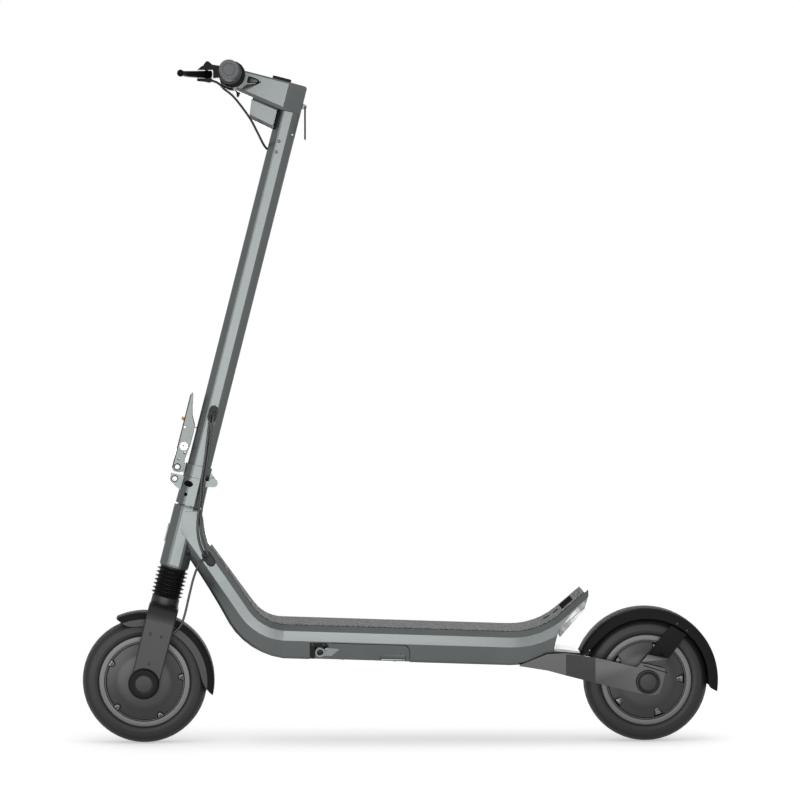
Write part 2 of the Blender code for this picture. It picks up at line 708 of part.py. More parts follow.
def octagon_rings(stations, softness=0.0):
    """Octagons of given half width at given heights."""
    return [[(x, y, z) for x, y in octagon(half, softness=softness)] for half, z in stations]


def both_sides(obj, action, outline, near, far, holder):
    """The same prism on the left and on the right."""
    for low, high in ((near, far), (-far, -near)):
        action(obj, prism(outline, low, high), holder)


FOLD_CENTRE = (FOLD_BACK, FOLD_HEIGHT)
CORNER = 0.005
base = add("fold_base", lofted(octagon_rings([(FOLD_BASE_HALF, FOLD_BASE_BOTTOM), (FOLD_HALF, SEAM)],
                                             CORNER)), steering)
join(base, rod(0.0205, (0, 0), HEAD_TUBE_TOP + GAP, FOLD_BASE_BOTTOM + 0.002, "Z", TUBE_SEGMENTS), steering)
cut(base, rod(STEERER_RADIUS + PIN_GAP, (0, 0), HEAD_TUBE_TOP - 0.002, STEERER_TOP + GAP, "Z",
              TUBE_SEGMENTS), steering)
rear_ear = [(FOLD_HALF - 0.006, FOLD_HEIGHT - 0.012), (FOLD_BACK - 0.002, FOLD_HEIGHT - FOLD_BOSS),
            (FOLD_BACK + 0.0015, FOLD_HEIGHT + 0.002), (FOLD_HALF - 0.006, SEAM - 0.001)]
both_sides(base, join, rear_ear, KNUCKLE_HALF + GAP, EAR_OUTER, steering)
both_sides(base, join, disc(FOLD_BOSS, FOLD_CENTRE), KNUCKLE_HALF + GAP, EAR_OUTER, steering)
join(base, rod(FOLD_PIN, FOLD_CENTRE, -EAR_OUTER + 0.001, EAR_OUTER - 0.001, segments=12), steering)
FRONT_EAR = [(-FOLD_HALF + 0.004, SEAM - 0.0025), (-0.0455, SEAM - 0.0025), (-0.0455, SEAM - 0.0150),
             (-0.0405, SEAM - 0.0195), (-FOLD_HALF + 0.001, SEAM - 0.0275),
             (-FOLD_HALF + 0.006, SEAM - 0.0275)]
both_sides(base, join, FRONT_EAR, EAR_GAP_HALF, LEVER_HALF, steering)
join(base, rod(TUBE_PIN_RADIUS, (CATCH_PIVOT.x, CATCH_PIVOT.z), -LEVER_HALF - 0.0005, LEVER_HALF + 0.0005),
     steering)
cut(base, rod(TUBE_PIN_RADIUS - TUBE_PIN_WALL, (CATCH_PIVOT.x, CATCH_PIVOT.z), -0.02, 0.02), steering)
cut(base, rod(FOLD_BOSS + 2 * GAP, FOLD_CENTRE, -KNUCKLE_HALF - GAP / 2, KNUCKLE_HALF + GAP / 2,
              segments=CYLINDER_SEGMENTS), steering)
join(base, rod(FOLD_PIN, FOLD_CENTRE, -KNUCKLE_HALF - 0.002, KNUCKLE_HALF + 0.002, segments=12), steering)
OVAL = [(-0.0010, 0.0), (-0.0060, 0.0052), (-0.0150, 0.0052), (-0.0195, 0.0), (-0.0150, -0.0052),
        (-0.0060, -0.0052)]
OVAL_HEIGHT = SEAM - 0.0128
cut(base, prism(rounded([(x, OVAL_HEIGHT + z) for x, z in OVAL], 0.003, 2), -0.030, -0.0195), steering)
cut(base, rod(0.0032, (-0.0108, SEAM - 0.0322), -0.030, -0.0200, segments=12), steering)

foot = add("stem_foot", lofted(octagon_rings([(FOLD_HALF, STEM_FOOT_BOTTOM),
                                              (FOLD_HALF, STEM_BOTTOM - GAP)], CORNER)), fold)
PLUG_HALF = STEM_HALF - STEM_WALL - GAP
join(foot, lofted(octagon_rings([(PLUG_HALF, STEM_FOOT_BOTTOM + 0.004),
                                 (PLUG_HALF, STEM_BOTTOM + STEM_PLUG)])), fold)
both_sides(foot, cut, disc(FOLD_BOSS + 2 * GAP, FOLD_CENTRE), KNUCKLE_HALF, EAR_OUTER + 0.012, fold)
knuckle = [(FOLD_HALF - 0.006, STEM_FOOT_BOTTOM + 0.001), (FOLD_BACK - 0.004, STEM_FOOT_BOTTOM + 0.0008),
           (FOLD_BACK + 0.0075, FOLD_HEIGHT + 0.0036), (FOLD_HALF - 0.0002, STEM_FOOT_BOTTOM + 0.0146),
           (FOLD_HALF - 0.006, STEM_FOOT_BOTTOM + 0.0146)]
join(foot, prism(knuckle, -KNUCKLE_HALF, KNUCKLE_HALF), fold)
join(foot, prism(disc(FOLD_BOSS, FOLD_CENTRE), -KNUCKLE_HALF, KNUCKLE_HALF), fold)
cut(foot, rod(FOLD_PIN + PIN_GAP, FOLD_CENTRE, -0.03, 0.03, segments=16), fold)
LEVER_EAR_OUTER = LEVER_HALF - LEVER_PLATE - GAP * 2
lever_ear = [(-FOLD_HALF + 0.004, LEVER_PIVOT.z - 0.0070), (LEVER_PIVOT.x, LEVER_PIVOT.z - 0.0074),
             (LEVER_PIVOT.x, LEVER_PIVOT.z + 0.0074), (-FOLD_HALF + 0.004, LEVER_PIVOT.z + 0.0100)]
both_sides(foot, join, lever_ear, EAR_GAP_HALF, LEVER_EAR_OUTER, fold)
both_sides(foot, join, disc(0.0074, (LEVER_PIVOT.x, LEVER_PIVOT.z)), EAR_GAP_HALF, LEVER_EAR_OUTER,
           fold)
join(foot, rod(TUBE_PIN_RADIUS, (LEVER_PIVOT.x, LEVER_PIVOT.z), -LEVER_HALF - 0.0005, LEVER_HALF + 0.0005),
     fold)
cut(foot, rod(TUBE_PIN_RADIUS - TUBE_PIN_WALL, (LEVER_PIVOT.x, LEVER_PIVOT.z), -0.02, 0.02), fold)


# Latch: lever, hook and safety catch

def from_lever(*points):
    """Points given from the lever's pivot."""
    return [(LEVER_PIVOT.x + x, LEVER_PIVOT.z + z) for x, z in points]


LEVER_BACK = [(0.0114, -0.0024), (0.0096, 0.0168), (0.0129, 0.0426), (0.0129, 0.0684), (0.0119, 0.0797),
              (0.0035, 0.0955), (-0.0008, 0.1124), (-0.0035, 0.1330)]
lever_outline = from_lever((-LEVER_FRONT + LEVER_FORWARD, -0.0050), (-0.0040, -0.0086), (0.0060, -0.0086),
                           *LEVER_BACK, (-0.0060, LEVER_LENGTH), (-LEVER_FRONT + LEVER_FORWARD, 0.1320))
lever = add("latch_lever", prism(lever_outline, -LEVER_HALF, LEVER_HALF), latch, ALLOY)
CHANNEL_HALF = LEVER_HALF - LEVER_PLATE
WEB = 0.0025
web_back = -LEVER_FRONT + LEVER_FORWARD + WEB
cut(lever, prism(from_lever((web_back, -0.02), (0.03, -0.02), (0.03, 0.118), (web_back, 0.118)),
                 -CHANNEL_HALF, CHANNEL_HALF), latch)
cut(lever, prism(from_lever((-0.02, -0.02), (0.0, -0.02), (0.0, 0.0346), (-0.02, 0.0346)), -CHANNEL_HALF,
                 CHANNEL_HALF), latch)
HOOK_SLOT_HALF = 0.0042
cut(lever, prism(from_lever((-0.02, 0.03), (0.0, 0.03), (0.0, 0.067), (-0.02, 0.067)), -HOOK_SLOT_HALF,
                 HOOK_SLOT_HALF), latch)
cut(lever, prism(from_lever((-0.02, 0.0805), (0.0, 0.0805), (0.0, 0.0925), (-0.02, 0.0925)),
                 -HOOK_SLOT_HALF, HOOK_SLOT_HALF), latch)
cut(lever, rod(TUBE_PIN_RADIUS + PIN_GAP, (LEVER_PIVOT.x, LEVER_PIVOT.z), -0.02, 0.02), latch)
HOOK_PIN = 0.0034
cut(lever, rod(HOOK_PIN + PIN_GAP, (HOOK_PIVOT.x, HOOK_PIVOT.z), -0.02, 0.02, segments=16), latch)
for point, radius in (((0.0065, 0.0280), 0.0021), ((-0.0011, 0.0145), 0.0019)):
    cut(lever, rod(radius, from_lever(point)[0], -0.02, 0.02, segments=12), latch)
SAFETY_PIN = 0.0014
cut(lever, rod(SAFETY_PIN + PIN_GAP, (SAFETY_PIVOT.x, SAFETY_PIVOT.z), -0.02, 0.02, segments=12), latch)


def hook_outline():
    """The hook from its pin down in front of the lever's pivot and under the catch pin."""
    tip = CATCH_PIVOT.z - TUBE_PIN_RADIUS - PIN_GAP
    outer = [(-0.0295, HOOK_PIVOT.z - 0.0030), (-0.0305, HOOK_PIVOT.z + 0.0045),
             (-0.0390, HOOK_PIVOT.z + 0.0048), (-0.0475, HOOK_PIVOT.z - 0.0097),
             (-0.0539, HOOK_PIVOT.z - 0.0205), (-0.0582, HOOK_PIVOT.z - 0.0290),
             (-0.0592, HOOK_PIVOT.z - 0.0385), (-0.0586, HOOK_PIVOT.z - 0.0480),
             (-0.0545, HOOK_PIVOT.z - 0.0585), (-0.0480, tip - 0.0040), (-0.0385, tip - 0.0072),
             (-0.0325, tip - 0.0050)]
    inner = [(-0.0318, tip), (-0.0405, tip), (-0.0445, tip + 0.0060), (-0.0488, HOOK_PIVOT.z - 0.0560),
             (-0.0518, HOOK_PIVOT.z - 0.0440), (-0.0508, HOOK_PIVOT.z - 0.0280)]
    return rounded(outer + inner, 0.0016, 1)


claw = add("latch_hook", prism(hook_outline(), -HOOK_HALF, HOOK_HALF), hook, STEEL)
join(claw, rod(HOOK_PIN, (HOOK_PIVOT.x, HOOK_PIVOT.z), -LEVER_HALF - 0.0010, LEVER_HALF + 0.0010,
               segments=16), hook)
both_sides(claw, join, disc(0.0068, (HOOK_PIVOT.x, HOOK_PIVOT.z)), LEVER_HALF + GAP,
           LEVER_HALF + 0.0020, hook)

sx, sz = SAFETY_PIVOT.x, SAFETY_PIVOT.z
SAFETY_HALF = 0.0036
tab = rounded([(sx + 0.0035, sz - 0.0060), (sx + 0.0035, sz + 0.0100), (sx - 0.0010, sz + 0.0155),
               (sx - 0.0110, sz + 0.0172), (sx - 0.0090, sz + 0.0108), (sx - 0.0012, sz + 0.0100),
               (sx - 0.0008, sz - 0.0050)], 0.0010, 1)
catch = add("safety_catch", prism(tab, -SAFETY_HALF, SAFETY_HALF), safety, ORANGE)
join(catch, prism([(sx, sz - 0.0056), (sx + 0.0155, sz - 0.0060), (sx + 0.0160, sz + 0.0010),
                   (sx + 0.0140, sz + 0.0012), (sx + 0.0132, sz - 0.0030), (sx, sz - 0.0020)], -0.0030,
                  0.0030), safety)
join(catch, rod(SAFETY_PIN, (sx, sz), -LEVER_HALF + 0.0004, LEVER_HALF - 0.0004, segments=12), safety)


# Stem

GROMMET = (0.0008, STEM_BOTTOM + 0.0955)
GROMMET_HALF = (0.0062, 0.0137)


def oval(centre, half, steps=4):
    """A round-ended slot outline, longer along its second axis."""
    straight = half[1] - half[0]
    points = []
    for sign in (1, -1):
        for k in range(steps + 1):
            a = math.pi * k / steps
            points.append((centre[0] + sign * half[0] * math.cos(a),
                           centre[1] + sign * (straight + half[0] * math.sin(a))))
    return points


stem = add("stem_tube", lofted(octagon_rings([(STEM_HALF, STEM_BOTTOM), (STEM_HALF, STEM_TOP)], 0.004)),
           fold)
bore_half = STEM_HALF - STEM_WALL
cut(stem, lofted(octagon_rings([(bore_half, STEM_BOTTOM - 0.01), (bore_half, STEM_TOP + 0.01)])), fold)
grommet_hole = oval(GROMMET, (GROMMET_HALF[0] + GAP, GROMMET_HALF[1] + GAP))
cut(stem, prism(grommet_hole, -STEM_HALF - 0.01, -bore_half + 0.004), fold)
CABLE_ENTRY = STEM_TOP - 0.0735
cut(stem, rod(0.0030, (0.0, CABLE_ENTRY), -STEM_HALF - 0.01, -bore_half + 0.01, "X", 12), fold)
cut(stem, rod(0.0015, (0.0158, STEM_TOP - 0.0374), -0.03, 0.03, segments=10), fold)
for drop in (0.0550, 0.0745):
    cut(stem, rod(0.0030, (-0.0042, STEM_TOP - drop), -STEM_HALF - 0.005, -STEM_HALF + 0.0012, segments=12),
        fold)
KEEPER = SAFETY_PIVOT.z + 0.0020
join(stem, prism([(-STEM_HALF + 0.001, KEEPER + 0.0030), (-STEM_HALF - 0.0092, KEEPER + 0.0030),
                  (-STEM_HALF - 0.0092, KEEPER - 0.0016), (-STEM_HALF - 0.0074, KEEPER - 0.0016),
                  (-STEM_HALF - 0.0074, KEEPER + 0.0006), (-STEM_HALF + 0.001, KEEPER + 0.0006)], -0.0032,
                 0.0032), fold)

grommet = add("stem_grommet", prism(oval(GROMMET, GROMMET_HALF), -STEM_HALF - 0.0005, -bore_half), fold,
              RUBBER)
join(grommet, prism(oval(GROMMET, (GROMMET_HALF[0] + 0.0020, GROMMET_HALF[1] + 0.0020)),
                    -STEM_HALF - 0.0030, -STEM_HALF - GAP), fold)
PORT_HOLES = ((-0.0022, -0.0055), (0.0018, 0.0035))
for dx, dz in PORT_HOLES:
    centre = (GROMMET[0] + dx, GROMMET[1] + dz)
    cut(grommet, rod(CABLE_RADIUS + 0.0003, centre, -STEM_HALF - 0.01, -bore_half + 0.01, segments=12),
        fold)


# Stem head, clamp, light and display

def head_outline():
    """Side view of the arm from the stem to the bar clamp."""
    clamp = []
    for k in range(CLAMP_STEPS + 1):
        a = math.radians(75 + 210 * k / CLAMP_STEPS)
        clamp.append((-BAR_REACH + CLAMP_RADIUS * math.cos(a), BAR_HEIGHT + CLAMP_RADIUS * math.sin(a)))
    return [(0.0, HEAD_TOP), (-BAR_REACH + 0.012, HEAD_TOP), *clamp,
            (-BAR_REACH + 0.0175, BAR_HEIGHT - 0.0233), (-0.015, HEAD_BOTTOM), (0.0, HEAD_BOTTOM)]


head = add("stem_head", lofted(octagon_rings([(STEM_HALF, HEAD_BOTTOM), (STEM_HALF, HEAD_TOP - 0.003),
                                              (STEM_HALF - 0.003, HEAD_TOP)], 0.004)), fold)
arm = prism(head_outline(), -HEAD_HALF, HEAD_HALF)
join(head, arm, fold)
cut(head, rod(BAR_RADIUS + GAP, (-BAR_REACH, BAR_HEIGHT), -0.04, 0.04, segments=TUBE_SEGMENTS), fold)
POCKET = [(-0.0850, HEAD_TOP - 0.0075), (-0.0700, HEAD_TOP - 0.0082), (-0.0630, HEAD_TOP - 0.0105),
          (-0.0650, HEAD_TOP - 0.0150), (-0.0850, HEAD_TOP - 0.0210)]
for low, high in ((-HEAD_HALF - 0.01, -HEAD_HALF + 0.004), (HEAD_HALF - 0.004, HEAD_HALF + 0.01)):
    cut(head, prism(rounded(POCKET, 0.002, 2), low, high), fold)
LOOP_PIVOT = Vector((STEM_HALF + 0.0045, 0, HEAD_TOP - 0.0351))
LOOP_WIRE = 0.0016
LUG_HALF = 0.004
join(head, prism([(STEM_HALF - 0.002, LOOP_PIVOT.z + 0.006), (LOOP_PIVOT.x + 0.002, LOOP_PIVOT.z + 0.0036),
                  (LOOP_PIVOT.x + 0.0038, LOOP_PIVOT.z), (LOOP_PIVOT.x + 0.002, LOOP_PIVOT.z - 0.0036),
                  (STEM_HALF - 0.002, LOOP_PIVOT.z - 0.006)], -LUG_HALF, LUG_HALF), fold)
cut(head, rod(LOOP_WIRE + PIN_GAP, (LOOP_PIVOT.x, LOOP_PIVOT.z), -0.02, 0.02, segments=12), fold)

DISPLAY = (-0.0430, -0.0094)
DISPLAY_HALF = 0.0165
display = add("display", block((DISPLAY[0], -DISPLAY_HALF, HEAD_TOP + GAP),
                               (DISPLAY[1], DISPLAY_HALF, HEAD_TOP + 0.0047)), fold, PLASTIC)
BUTTON_AT = (DISPLAY[1] - 0.0065, 0.0)
BUTTON_RADIUS = 0.0040
cut(display, rod(BUTTON_RADIUS + GAP, BUTTON_AT, HEAD_TOP + 0.0015, HEAD_TOP + 0.01, "Z", 20), fold)
button_holder = carrier("power_button_axis", (BUTTON_AT[0], 0, HEAD_TOP + 0.0047), fold)
add("power_button", turned([(0, HEAD_TOP + 0.0033), (BUTTON_RADIUS, HEAD_TOP + 0.0033),
                            (BUTTON_RADIUS, HEAD_TOP + 0.0052), (BUTTON_RADIUS - 0.0006, HEAD_TOP + 0.0057),
                            (0, HEAD_TOP + 0.0057)], 20, "Z", (BUTTON_AT[0], 0, 0)), button_holder, ALLOY)

LIGHT_HALF = 0.018
light_outline = [(-STEM_HALF - GAP, STEM_TOP - 0.0018 - GAP), (-0.0692, STEM_TOP + 0.0050),
                 (-0.0660, STEM_TOP - 0.0226), (-0.0646, STEM_TOP - 0.0283),
                 (-STEM_HALF - GAP, STEM_TOP - 0.0369)]
headlight = add("headlight_housing", prism(light_outline, -LIGHT_HALF, LIGHT_HALF), fold, PAINT)
lens_back = [(-0.0800, STEM_TOP + 0.0015), (-0.0800, STEM_TOP - 0.0200), (-0.0580, STEM_TOP - 0.0200),
             (-0.0580, STEM_TOP + 0.0015)]
cut(headlight, prism(lens_back, -LIGHT_HALF + 0.0025, LIGHT_HALF - 0.0025), fold)
lens = [(-0.0684, STEM_TOP + 0.0015 - GAP), (-0.0664, STEM_TOP - 0.0200 + GAP),
        (-0.0584, STEM_TOP - 0.0200 + GAP), (-0.0584, STEM_TOP + 0.0015 - GAP)]
add("headlight_lens", prism(lens, -LIGHT_HALF + 0.0025 + GAP, LIGHT_HALF - 0.0025 - GAP), fold, CLEAR)


# Handlebar and its fittings, in coordinates level with the ground and centred on the bar

cockpit = carrier("handlebar_centre", (-BAR_REACH, 0, BAR_HEIGHT), fold, turn=-HEAD_ANGLE)
BAR_END = BAR_HALF_WIDTH - 0.004
add("handlebar", turned([(BAR_RADIUS, -BAR_END), (BAR_RADIUS, BAR_END), (BAR_RADIUS - BAR_WALL, BAR_END),
                         (BAR_RADIUS - BAR_WALL, -BAR_END)], TUBE_SEGMENTS), cockpit, DARK_PAINT)


def grip_profile(side):
    """A closed-end grip: a flange, a body and a recessed end face."""
    bore = BAR_RADIUS + GAP
    outer = [(GRIP_FLANGE, GRIP_INNER), (GRIP_FLANGE, GRIP_INNER + 0.004),
             (GRIP_RADIUS - 0.0012, GRIP_INNER + 0.007)]
    end = [(GRIP_RADIUS, BAR_HALF_WIDTH - 0.0015), (GRIP_RADIUS - 0.0015, BAR_HALF_WIDTH),
           (0.0108, BAR_HALF_WIDTH), (0.0104, BAR_HALF_WIDTH - 0.0012), (0.0, BAR_HALF_WIDTH - 0.0012)]
    back = [(0.0, BAR_END + GAP), (bore, BAR_END + GAP), (bore, GRIP_INNER)]
    return [(r, side * y) for r, y in outer + end + back]


for name, side in (("grip_left", -1), ("grip_right", 1)):
    add(name, turned(grip_profile(side), TUBE_SEGMENTS), cockpit, RUBBER)

POD_LOW, POD_HIGH = GRIP_INNER - 0.0470, GRIP_INNER - 0.0270
PERCH_LOW, PERCH_HIGH = GRIP_INNER - 0.0245, GRIP_INNER - 0.0030


def pod(name, side, radius, centre=(0.0, 0.0)):
    """A round switch housing on the bar, before its bore is cut."""
    outline = [(0, POD_LOW), (radius - 0.003, POD_LOW), (radius, POD_LOW + 0.003),
               (radius, POD_HIGH - 0.003), (radius - 0.003, POD_HIGH), (0, POD_HIGH)]
    shape = turned([(r, side * y) for r, y in outline], TUBE_SEGMENTS, centre=(centre[0], 0, centre[1]))
    return add(name, shape, cockpit, PLASTIC)


LEVER_CUT_LOW, LEVER_CUT_HIGH = POD_LOW + 0.006, POD_HIGH - 0.006


def thumb_slot(housing, side, start, end):
    """Cuts the slot that a thumb lever turns in."""
    steps = 8
    inner, outer = BAR_RADIUS + 0.0030, BELL_RADIUS + 0.007
    arc = [start + (end - start) * k / steps for k in range(steps + 1)]
    outline = [(outer * math.cos(a), outer * math.sin(a)) for a in arc]
    outline += [(inner * math.cos(a), inner * math.sin(a)) for a in reversed(arc)]
    cut(housing, prism(outline, *sorted((side * LEVER_CUT_LOW, side * LEVER_CUT_HIGH))), cockpit)


def thumb_lever(name, side, angle, reach, holder):
    """A paddle that turns about the bar, with a pad at its end."""
    inner = BAR_RADIUS + 0.0036
    c, s = math.cos(angle), math.sin(angle)

    def at(r, t):
        return (r * c - t * s, r * s + t * c)

    outline = [at(inner, -0.0045), at(reach - 0.008, -0.0028), at(reach, -0.0050),
               at(reach + 0.0015, -0.0025), at(reach - 0.0035, 0.0030), at(inner, 0.0045)]
    span = sorted((side * (LEVER_CUT_LOW + 2 * GAP), side * (LEVER_CUT_HIGH - 2 * GAP)))
    return add(name, prism(outline, *span), holder, ALLOY)


BELL_ANGLE, BELL_TRAVEL, BELL_REACH = math.radians(-69), math.radians(18), 0.0300
THROTTLE_ANGLE, THROTTLE_TRAVEL, THROTTLE_REACH = math.radians(-66), math.radians(35), 0.0350
SLOT_MARGIN = math.radians(22)
bore = BAR_RADIUS + GAP
perch = pod("brake_perch", -1, BELL_RADIUS, BELL_CENTRE)
join(perch, rod(0.0140, (0, 0), -PERCH_LOW - 0.001, -POD_HIGH + 0.001, segments=TUBE_SEGMENTS), cockpit)
join(perch, rod(CLAMP_RADIUS, (0, 0), -PERCH_HIGH, -PERCH_LOW, segments=TUBE_SEGMENTS), cockpit)
thumb_slot(perch, -1, BELL_ANGLE - SLOT_MARGIN - BELL_TRAVEL, BELL_ANGLE + SLOT_MARGIN)
throttle = pod("throttle_housing", 1, POD_RADIUS)
thumb_slot(throttle, 1, THROTTLE_ANGLE - SLOT_MARGIN - THROTTLE_TRAVEL, THROTTLE_ANGLE + SLOT_MARGIN)
bell_holder = carrier("bell_lever_axis", (0, -POD_HIGH, 0), cockpit)
throttle_holder = carrier("throttle_lever_axis", (0, POD_HIGH, 0), cockpit)
thumb_lever("bell_lever", -1, BELL_ANGLE, BELL_REACH, bell_holder)
thumb_lever("throttle_lever", 1, THROTTLE_ANGLE, THROTTLE_REACH, throttle_holder)

PIVOT = Vector((-0.0405, 0.0140 - GRIP_INNER, 0))
PERCH_SIDE = [(-0.0125, -0.0085), (-0.0300, -0.0100), (-0.0330, -0.0172), (-0.0567, -0.0148),
              (-0.0567, 0.0040), (-0.0500, 0.0100), (-0.0410, 0.0150), (-0.0125, 0.0110)]
PERCH_HORN = [(-0.0480, 0.0090), (-0.0445, 0.0150), (-0.0405, 0.0198), (-0.0365, 0.0192), (-0.0260, 0.0100)]
join(perch, prism(PERCH_SIDE, -PERCH_HIGH + 0.0005, -PERCH_LOW - 0.0005), cockpit)
join(perch, prism(PERCH_HORN, PIVOT.y - 0.0060, PIVOT.y + 0.0060), cockpit)
ADJUSTER = (-0.0365, -0.0136)
join(perch, rod(0.0042, ADJUSTER, -PERCH_HIGH + 0.0015, -PERCH_LOW - 0.0015, segments=12), cockpit)
SLOT_LOW, SLOT_HIGH = -0.0102, 0.0044
slot_outline = [(-0.0700, SLOT_LOW), (-0.0290, SLOT_LOW), (-0.0290, SLOT_HIGH), (-0.0700, SLOT_HIGH)]
cut(perch, prism(slot_outline, -PERCH_HIGH - 0.01, -PERCH_LOW + 0.01), cockpit)
BRAKE_PIN = 0.0025
join(perch, rod(BRAKE_PIN, (PIVOT.x, PIVOT.y), SLOT_LOW - 0.001, SLOT_HIGH + 0.001, "Z", 12), cockpit)
CABLE_START = Vector((-0.0385, 0.0180 - GRIP_INNER, -0.0137))
cut(perch, rod(CABLE_RADIUS + PIN_GAP, (CABLE_START.y, CABLE_START.z), CABLE_START.x - 0.001, -0.0200, "X",
               12), cockpit)
cut(perch, rod(bore, (0, 0), -PERCH_HIGH - 0.01, -POD_LOW + 0.01, segments=TUBE_SEGMENTS), cockpit)
cut(throttle, rod(bore, (0, 0), POD_LOW - 0.01, POD_HIGH + 0.01, segments=TUBE_SEGMENTS), cockpit)


BLADE_TAPER = 0.0056


def blade():
    """The brake blade, a bar that curves out in front of the grip and ends in a ball."""
    path = [(-0.0340, 0.0210), (-0.0480, 0.0075), (-0.0630, -0.0100), (-0.0740, -0.0320),
            (-0.0800, -0.0590), (-0.0822, -0.0840), (-0.0826, -0.1020)]
    route = smooth_route([(x, y - GRIP_INNER, 0) for x, y in path], 0.012)
    rings = []
    for i, point in enumerate(route):
        ahead = route[min(i + 1, len(route) - 1)] - route[max(i - 1, 0)]
        side = Vector((-ahead.y, ahead.x, 0)).normalized()
        share = i / (len(route) - 1)
        thick = 0.0058 - 0.0016 * share
        low = SLOT_LOW + 2 * GAP
        high = SLOT_HIGH - 2 * GAP - BLADE_TAPER * share
        middle = (low + high) / 2
        ring = []
        for a, b in ((-1.0, 0.0), (-0.8, 0.8), (0.0, 1.0), (0.8, 0.8), (1.0, 0.0), (0.8, -0.8), (0.0, -1.0),
                     (-0.8, -0.8)):
            ring.append(point + side * a * thick + Vector((0, 0, middle + b * (high - low) / 2)))
        rings.append(ring)
    return lofted(rings)


def ball(radius, centre, rings=6, segments=12):
    """A sphere with a flat at each pole."""
    steps = [math.pi * (k + 0.5) / rings for k in range(rings)]
    outline = [(radius * math.sin(a), -radius * math.cos(a)) for a in steps]
    return turned([(0, outline[0][1]), *outline, (0, outline[-1][1])], segments, "Z", centre)


brake_holder = carrier("brake_lever_axis", PIVOT, cockpit)
brake_lever = add("brake_lever", blade(), brake_holder, PLASTIC)
join(brake_lever, ball(0.0062, (-0.0826, -GRIP_INNER - 0.1040, -0.0058)), brake_holder)
cut(brake_lever, rod(BRAKE_PIN + PIN_GAP, (PIVOT.x, PIVOT.y), -0.02, 0.02, "Z", 14), brake_holder)

# Wire loop that catches the deck's tail when the scooter is folded
LOOP_DROP = 0.057
LOOP_HALF = 0.009
loop_holder = carrier("carry_loop_axis", LOOP_PIVOT, fold)
down = Vector((math.sin(HEAD_ANGLE), 0, -math.cos(HEAD_ANGLE)))
LOOP_BEND = 0.004
loop_outline = rounded([(-LOOP_HALF, 0), (LOOP_HALF, 0), (LOOP_HALF, LOOP_DROP), (-LOOP_HALF, LOOP_DROP)],
                       LOOP_BEND, 3)
loop_ring = [LOOP_PIVOT + Vector((0, y, 0)) + down * drop for y, drop in loop_outline]
cable("carry_loop", loop_ring, LOOP_WIRE, loop_holder, STEEL, sides=2, cyclic=True)


# Deck

def deck_path():
    """Side view of the mat's surface: down the neck, along the deck and up the tail."""
    neck = steering_to_world(NECK_BACK, 0, NECK_UP_HEAD)
    bend = Vector((REAR_AXLE_X - TAIL_SETBACK, 0, TAIL_HEIGHT))
    fall, slope = math.tan(NECK_ANGLE), math.tan(DECK_SLOPE)
    x = (neck.z - bend.z + fall * neck.x - slope * bend.x) / (fall - slope)
    front = (x, neck.z - fall * (x - neck.x))
    tail = (bend.x + TAIL_LENGTH * math.cos(TAIL_ANGLE), bend.z + TAIL_LENGTH * math.sin(TAIL_ANGLE))
    rows = bent_path([(neck.x, neck.z), front, (bend.x, bend.z), tail], [FRONT_BEND, TAIL_BEND], 6)
    start, rest = rows[0], rows[1:]
    splits = 5
    neck_rows = []
    for k in range(splits):
        share = k / splits
        neck_rows.append((start[0] + (rest[0][0] - start[0]) * share,
                          start[1] + (rest[0][1] - start[1]) * share, start[2]))
    return neck_rows + rest, splits + 6


DECK_ROWS, FLARE_END = deck_path()


def path_lengths(rows):
    """Distance along the path at each of its points."""
    lengths = [0.0]
    for p, q in zip(rows, rows[1:]):
        lengths.append(lengths[-1] + math.hypot(q[0] - p[0], q[1] - p[1]))
    return lengths


LENGTHS = path_lengths(DECK_ROWS)
TAIL_START = FLARE_END + 1


def flare(length):
    """How far the deck has widened from the neck's width to its own, from 0 to 1."""
    return min(1.0, length / LENGTHS[FLARE_END]) ** FLARE_POWER


def half_width(length):
    """Half the deck's width, which grows from the neck and shrinks along the tail."""
    tail = max(0.0, (length - LENGTHS[TAIL_START]) / (LENGTHS[-1] - LENGTHS[TAIL_START]))
    wide = NECK_HALF_WIDTH + (DECK_HALF_WIDTH - NECK_HALF_WIDTH) * flare(length)
    return wide - (DECK_HALF_WIDTH - TAIL_HALF_WIDTH) * tail


def deck_ring(row, length, section):
    """A section's (width, depth) points, set square to the path."""
    x, z, heading = row
    down_x, down_z = math.sin(heading), -math.cos(heading)
    return [(x + down_x * d, y, z + down_z * d) for y, d in section(length)]


CREASE = MAT_THICKNESS + SHOULDER_HEIGHT + BAND_HEIGHT


def deck_section(length):
    """Sloping shoulder, upright band, side that leans in below a crease, and broken bottom edge."""
    grow = flare(length)
    half = half_width(length)
    depth = NECK_DEPTH + (DECK_DEPTH - NECK_DEPTH) * grow
    lean = NECK_LEAN + (SIDE_LEAN - NECK_LEAN) * grow
    low = depth - FOOT_EDGE
    foot = half - (low - CREASE) * math.tan(lean)
    side = [(half - EDGE_INSET, MAT_THICKNESS), (half, MAT_THICKNESS + SHOULDER_HEIGHT), (half, CREASE),
            (foot, low), (foot - FOOT_EDGE, depth)]
    return side + [(-y, d) for y, d in reversed(side)]


def mat_section(length):
    """The mat, with its top edge broken."""
    half = MAT_SHARE * (half_width(length) - EDGE_INSET)
    side = [(half - 0.001, 0.0), (half, 0.0008), (half, MAT_THICKNESS - GAP)]
    return side + [(-y, d) for y, d in reversed(side)]


deck = add("deck_frame", lofted([deck_ring(row, s, deck_section) for row, s in zip(DECK_ROWS, LENGTHS)]))

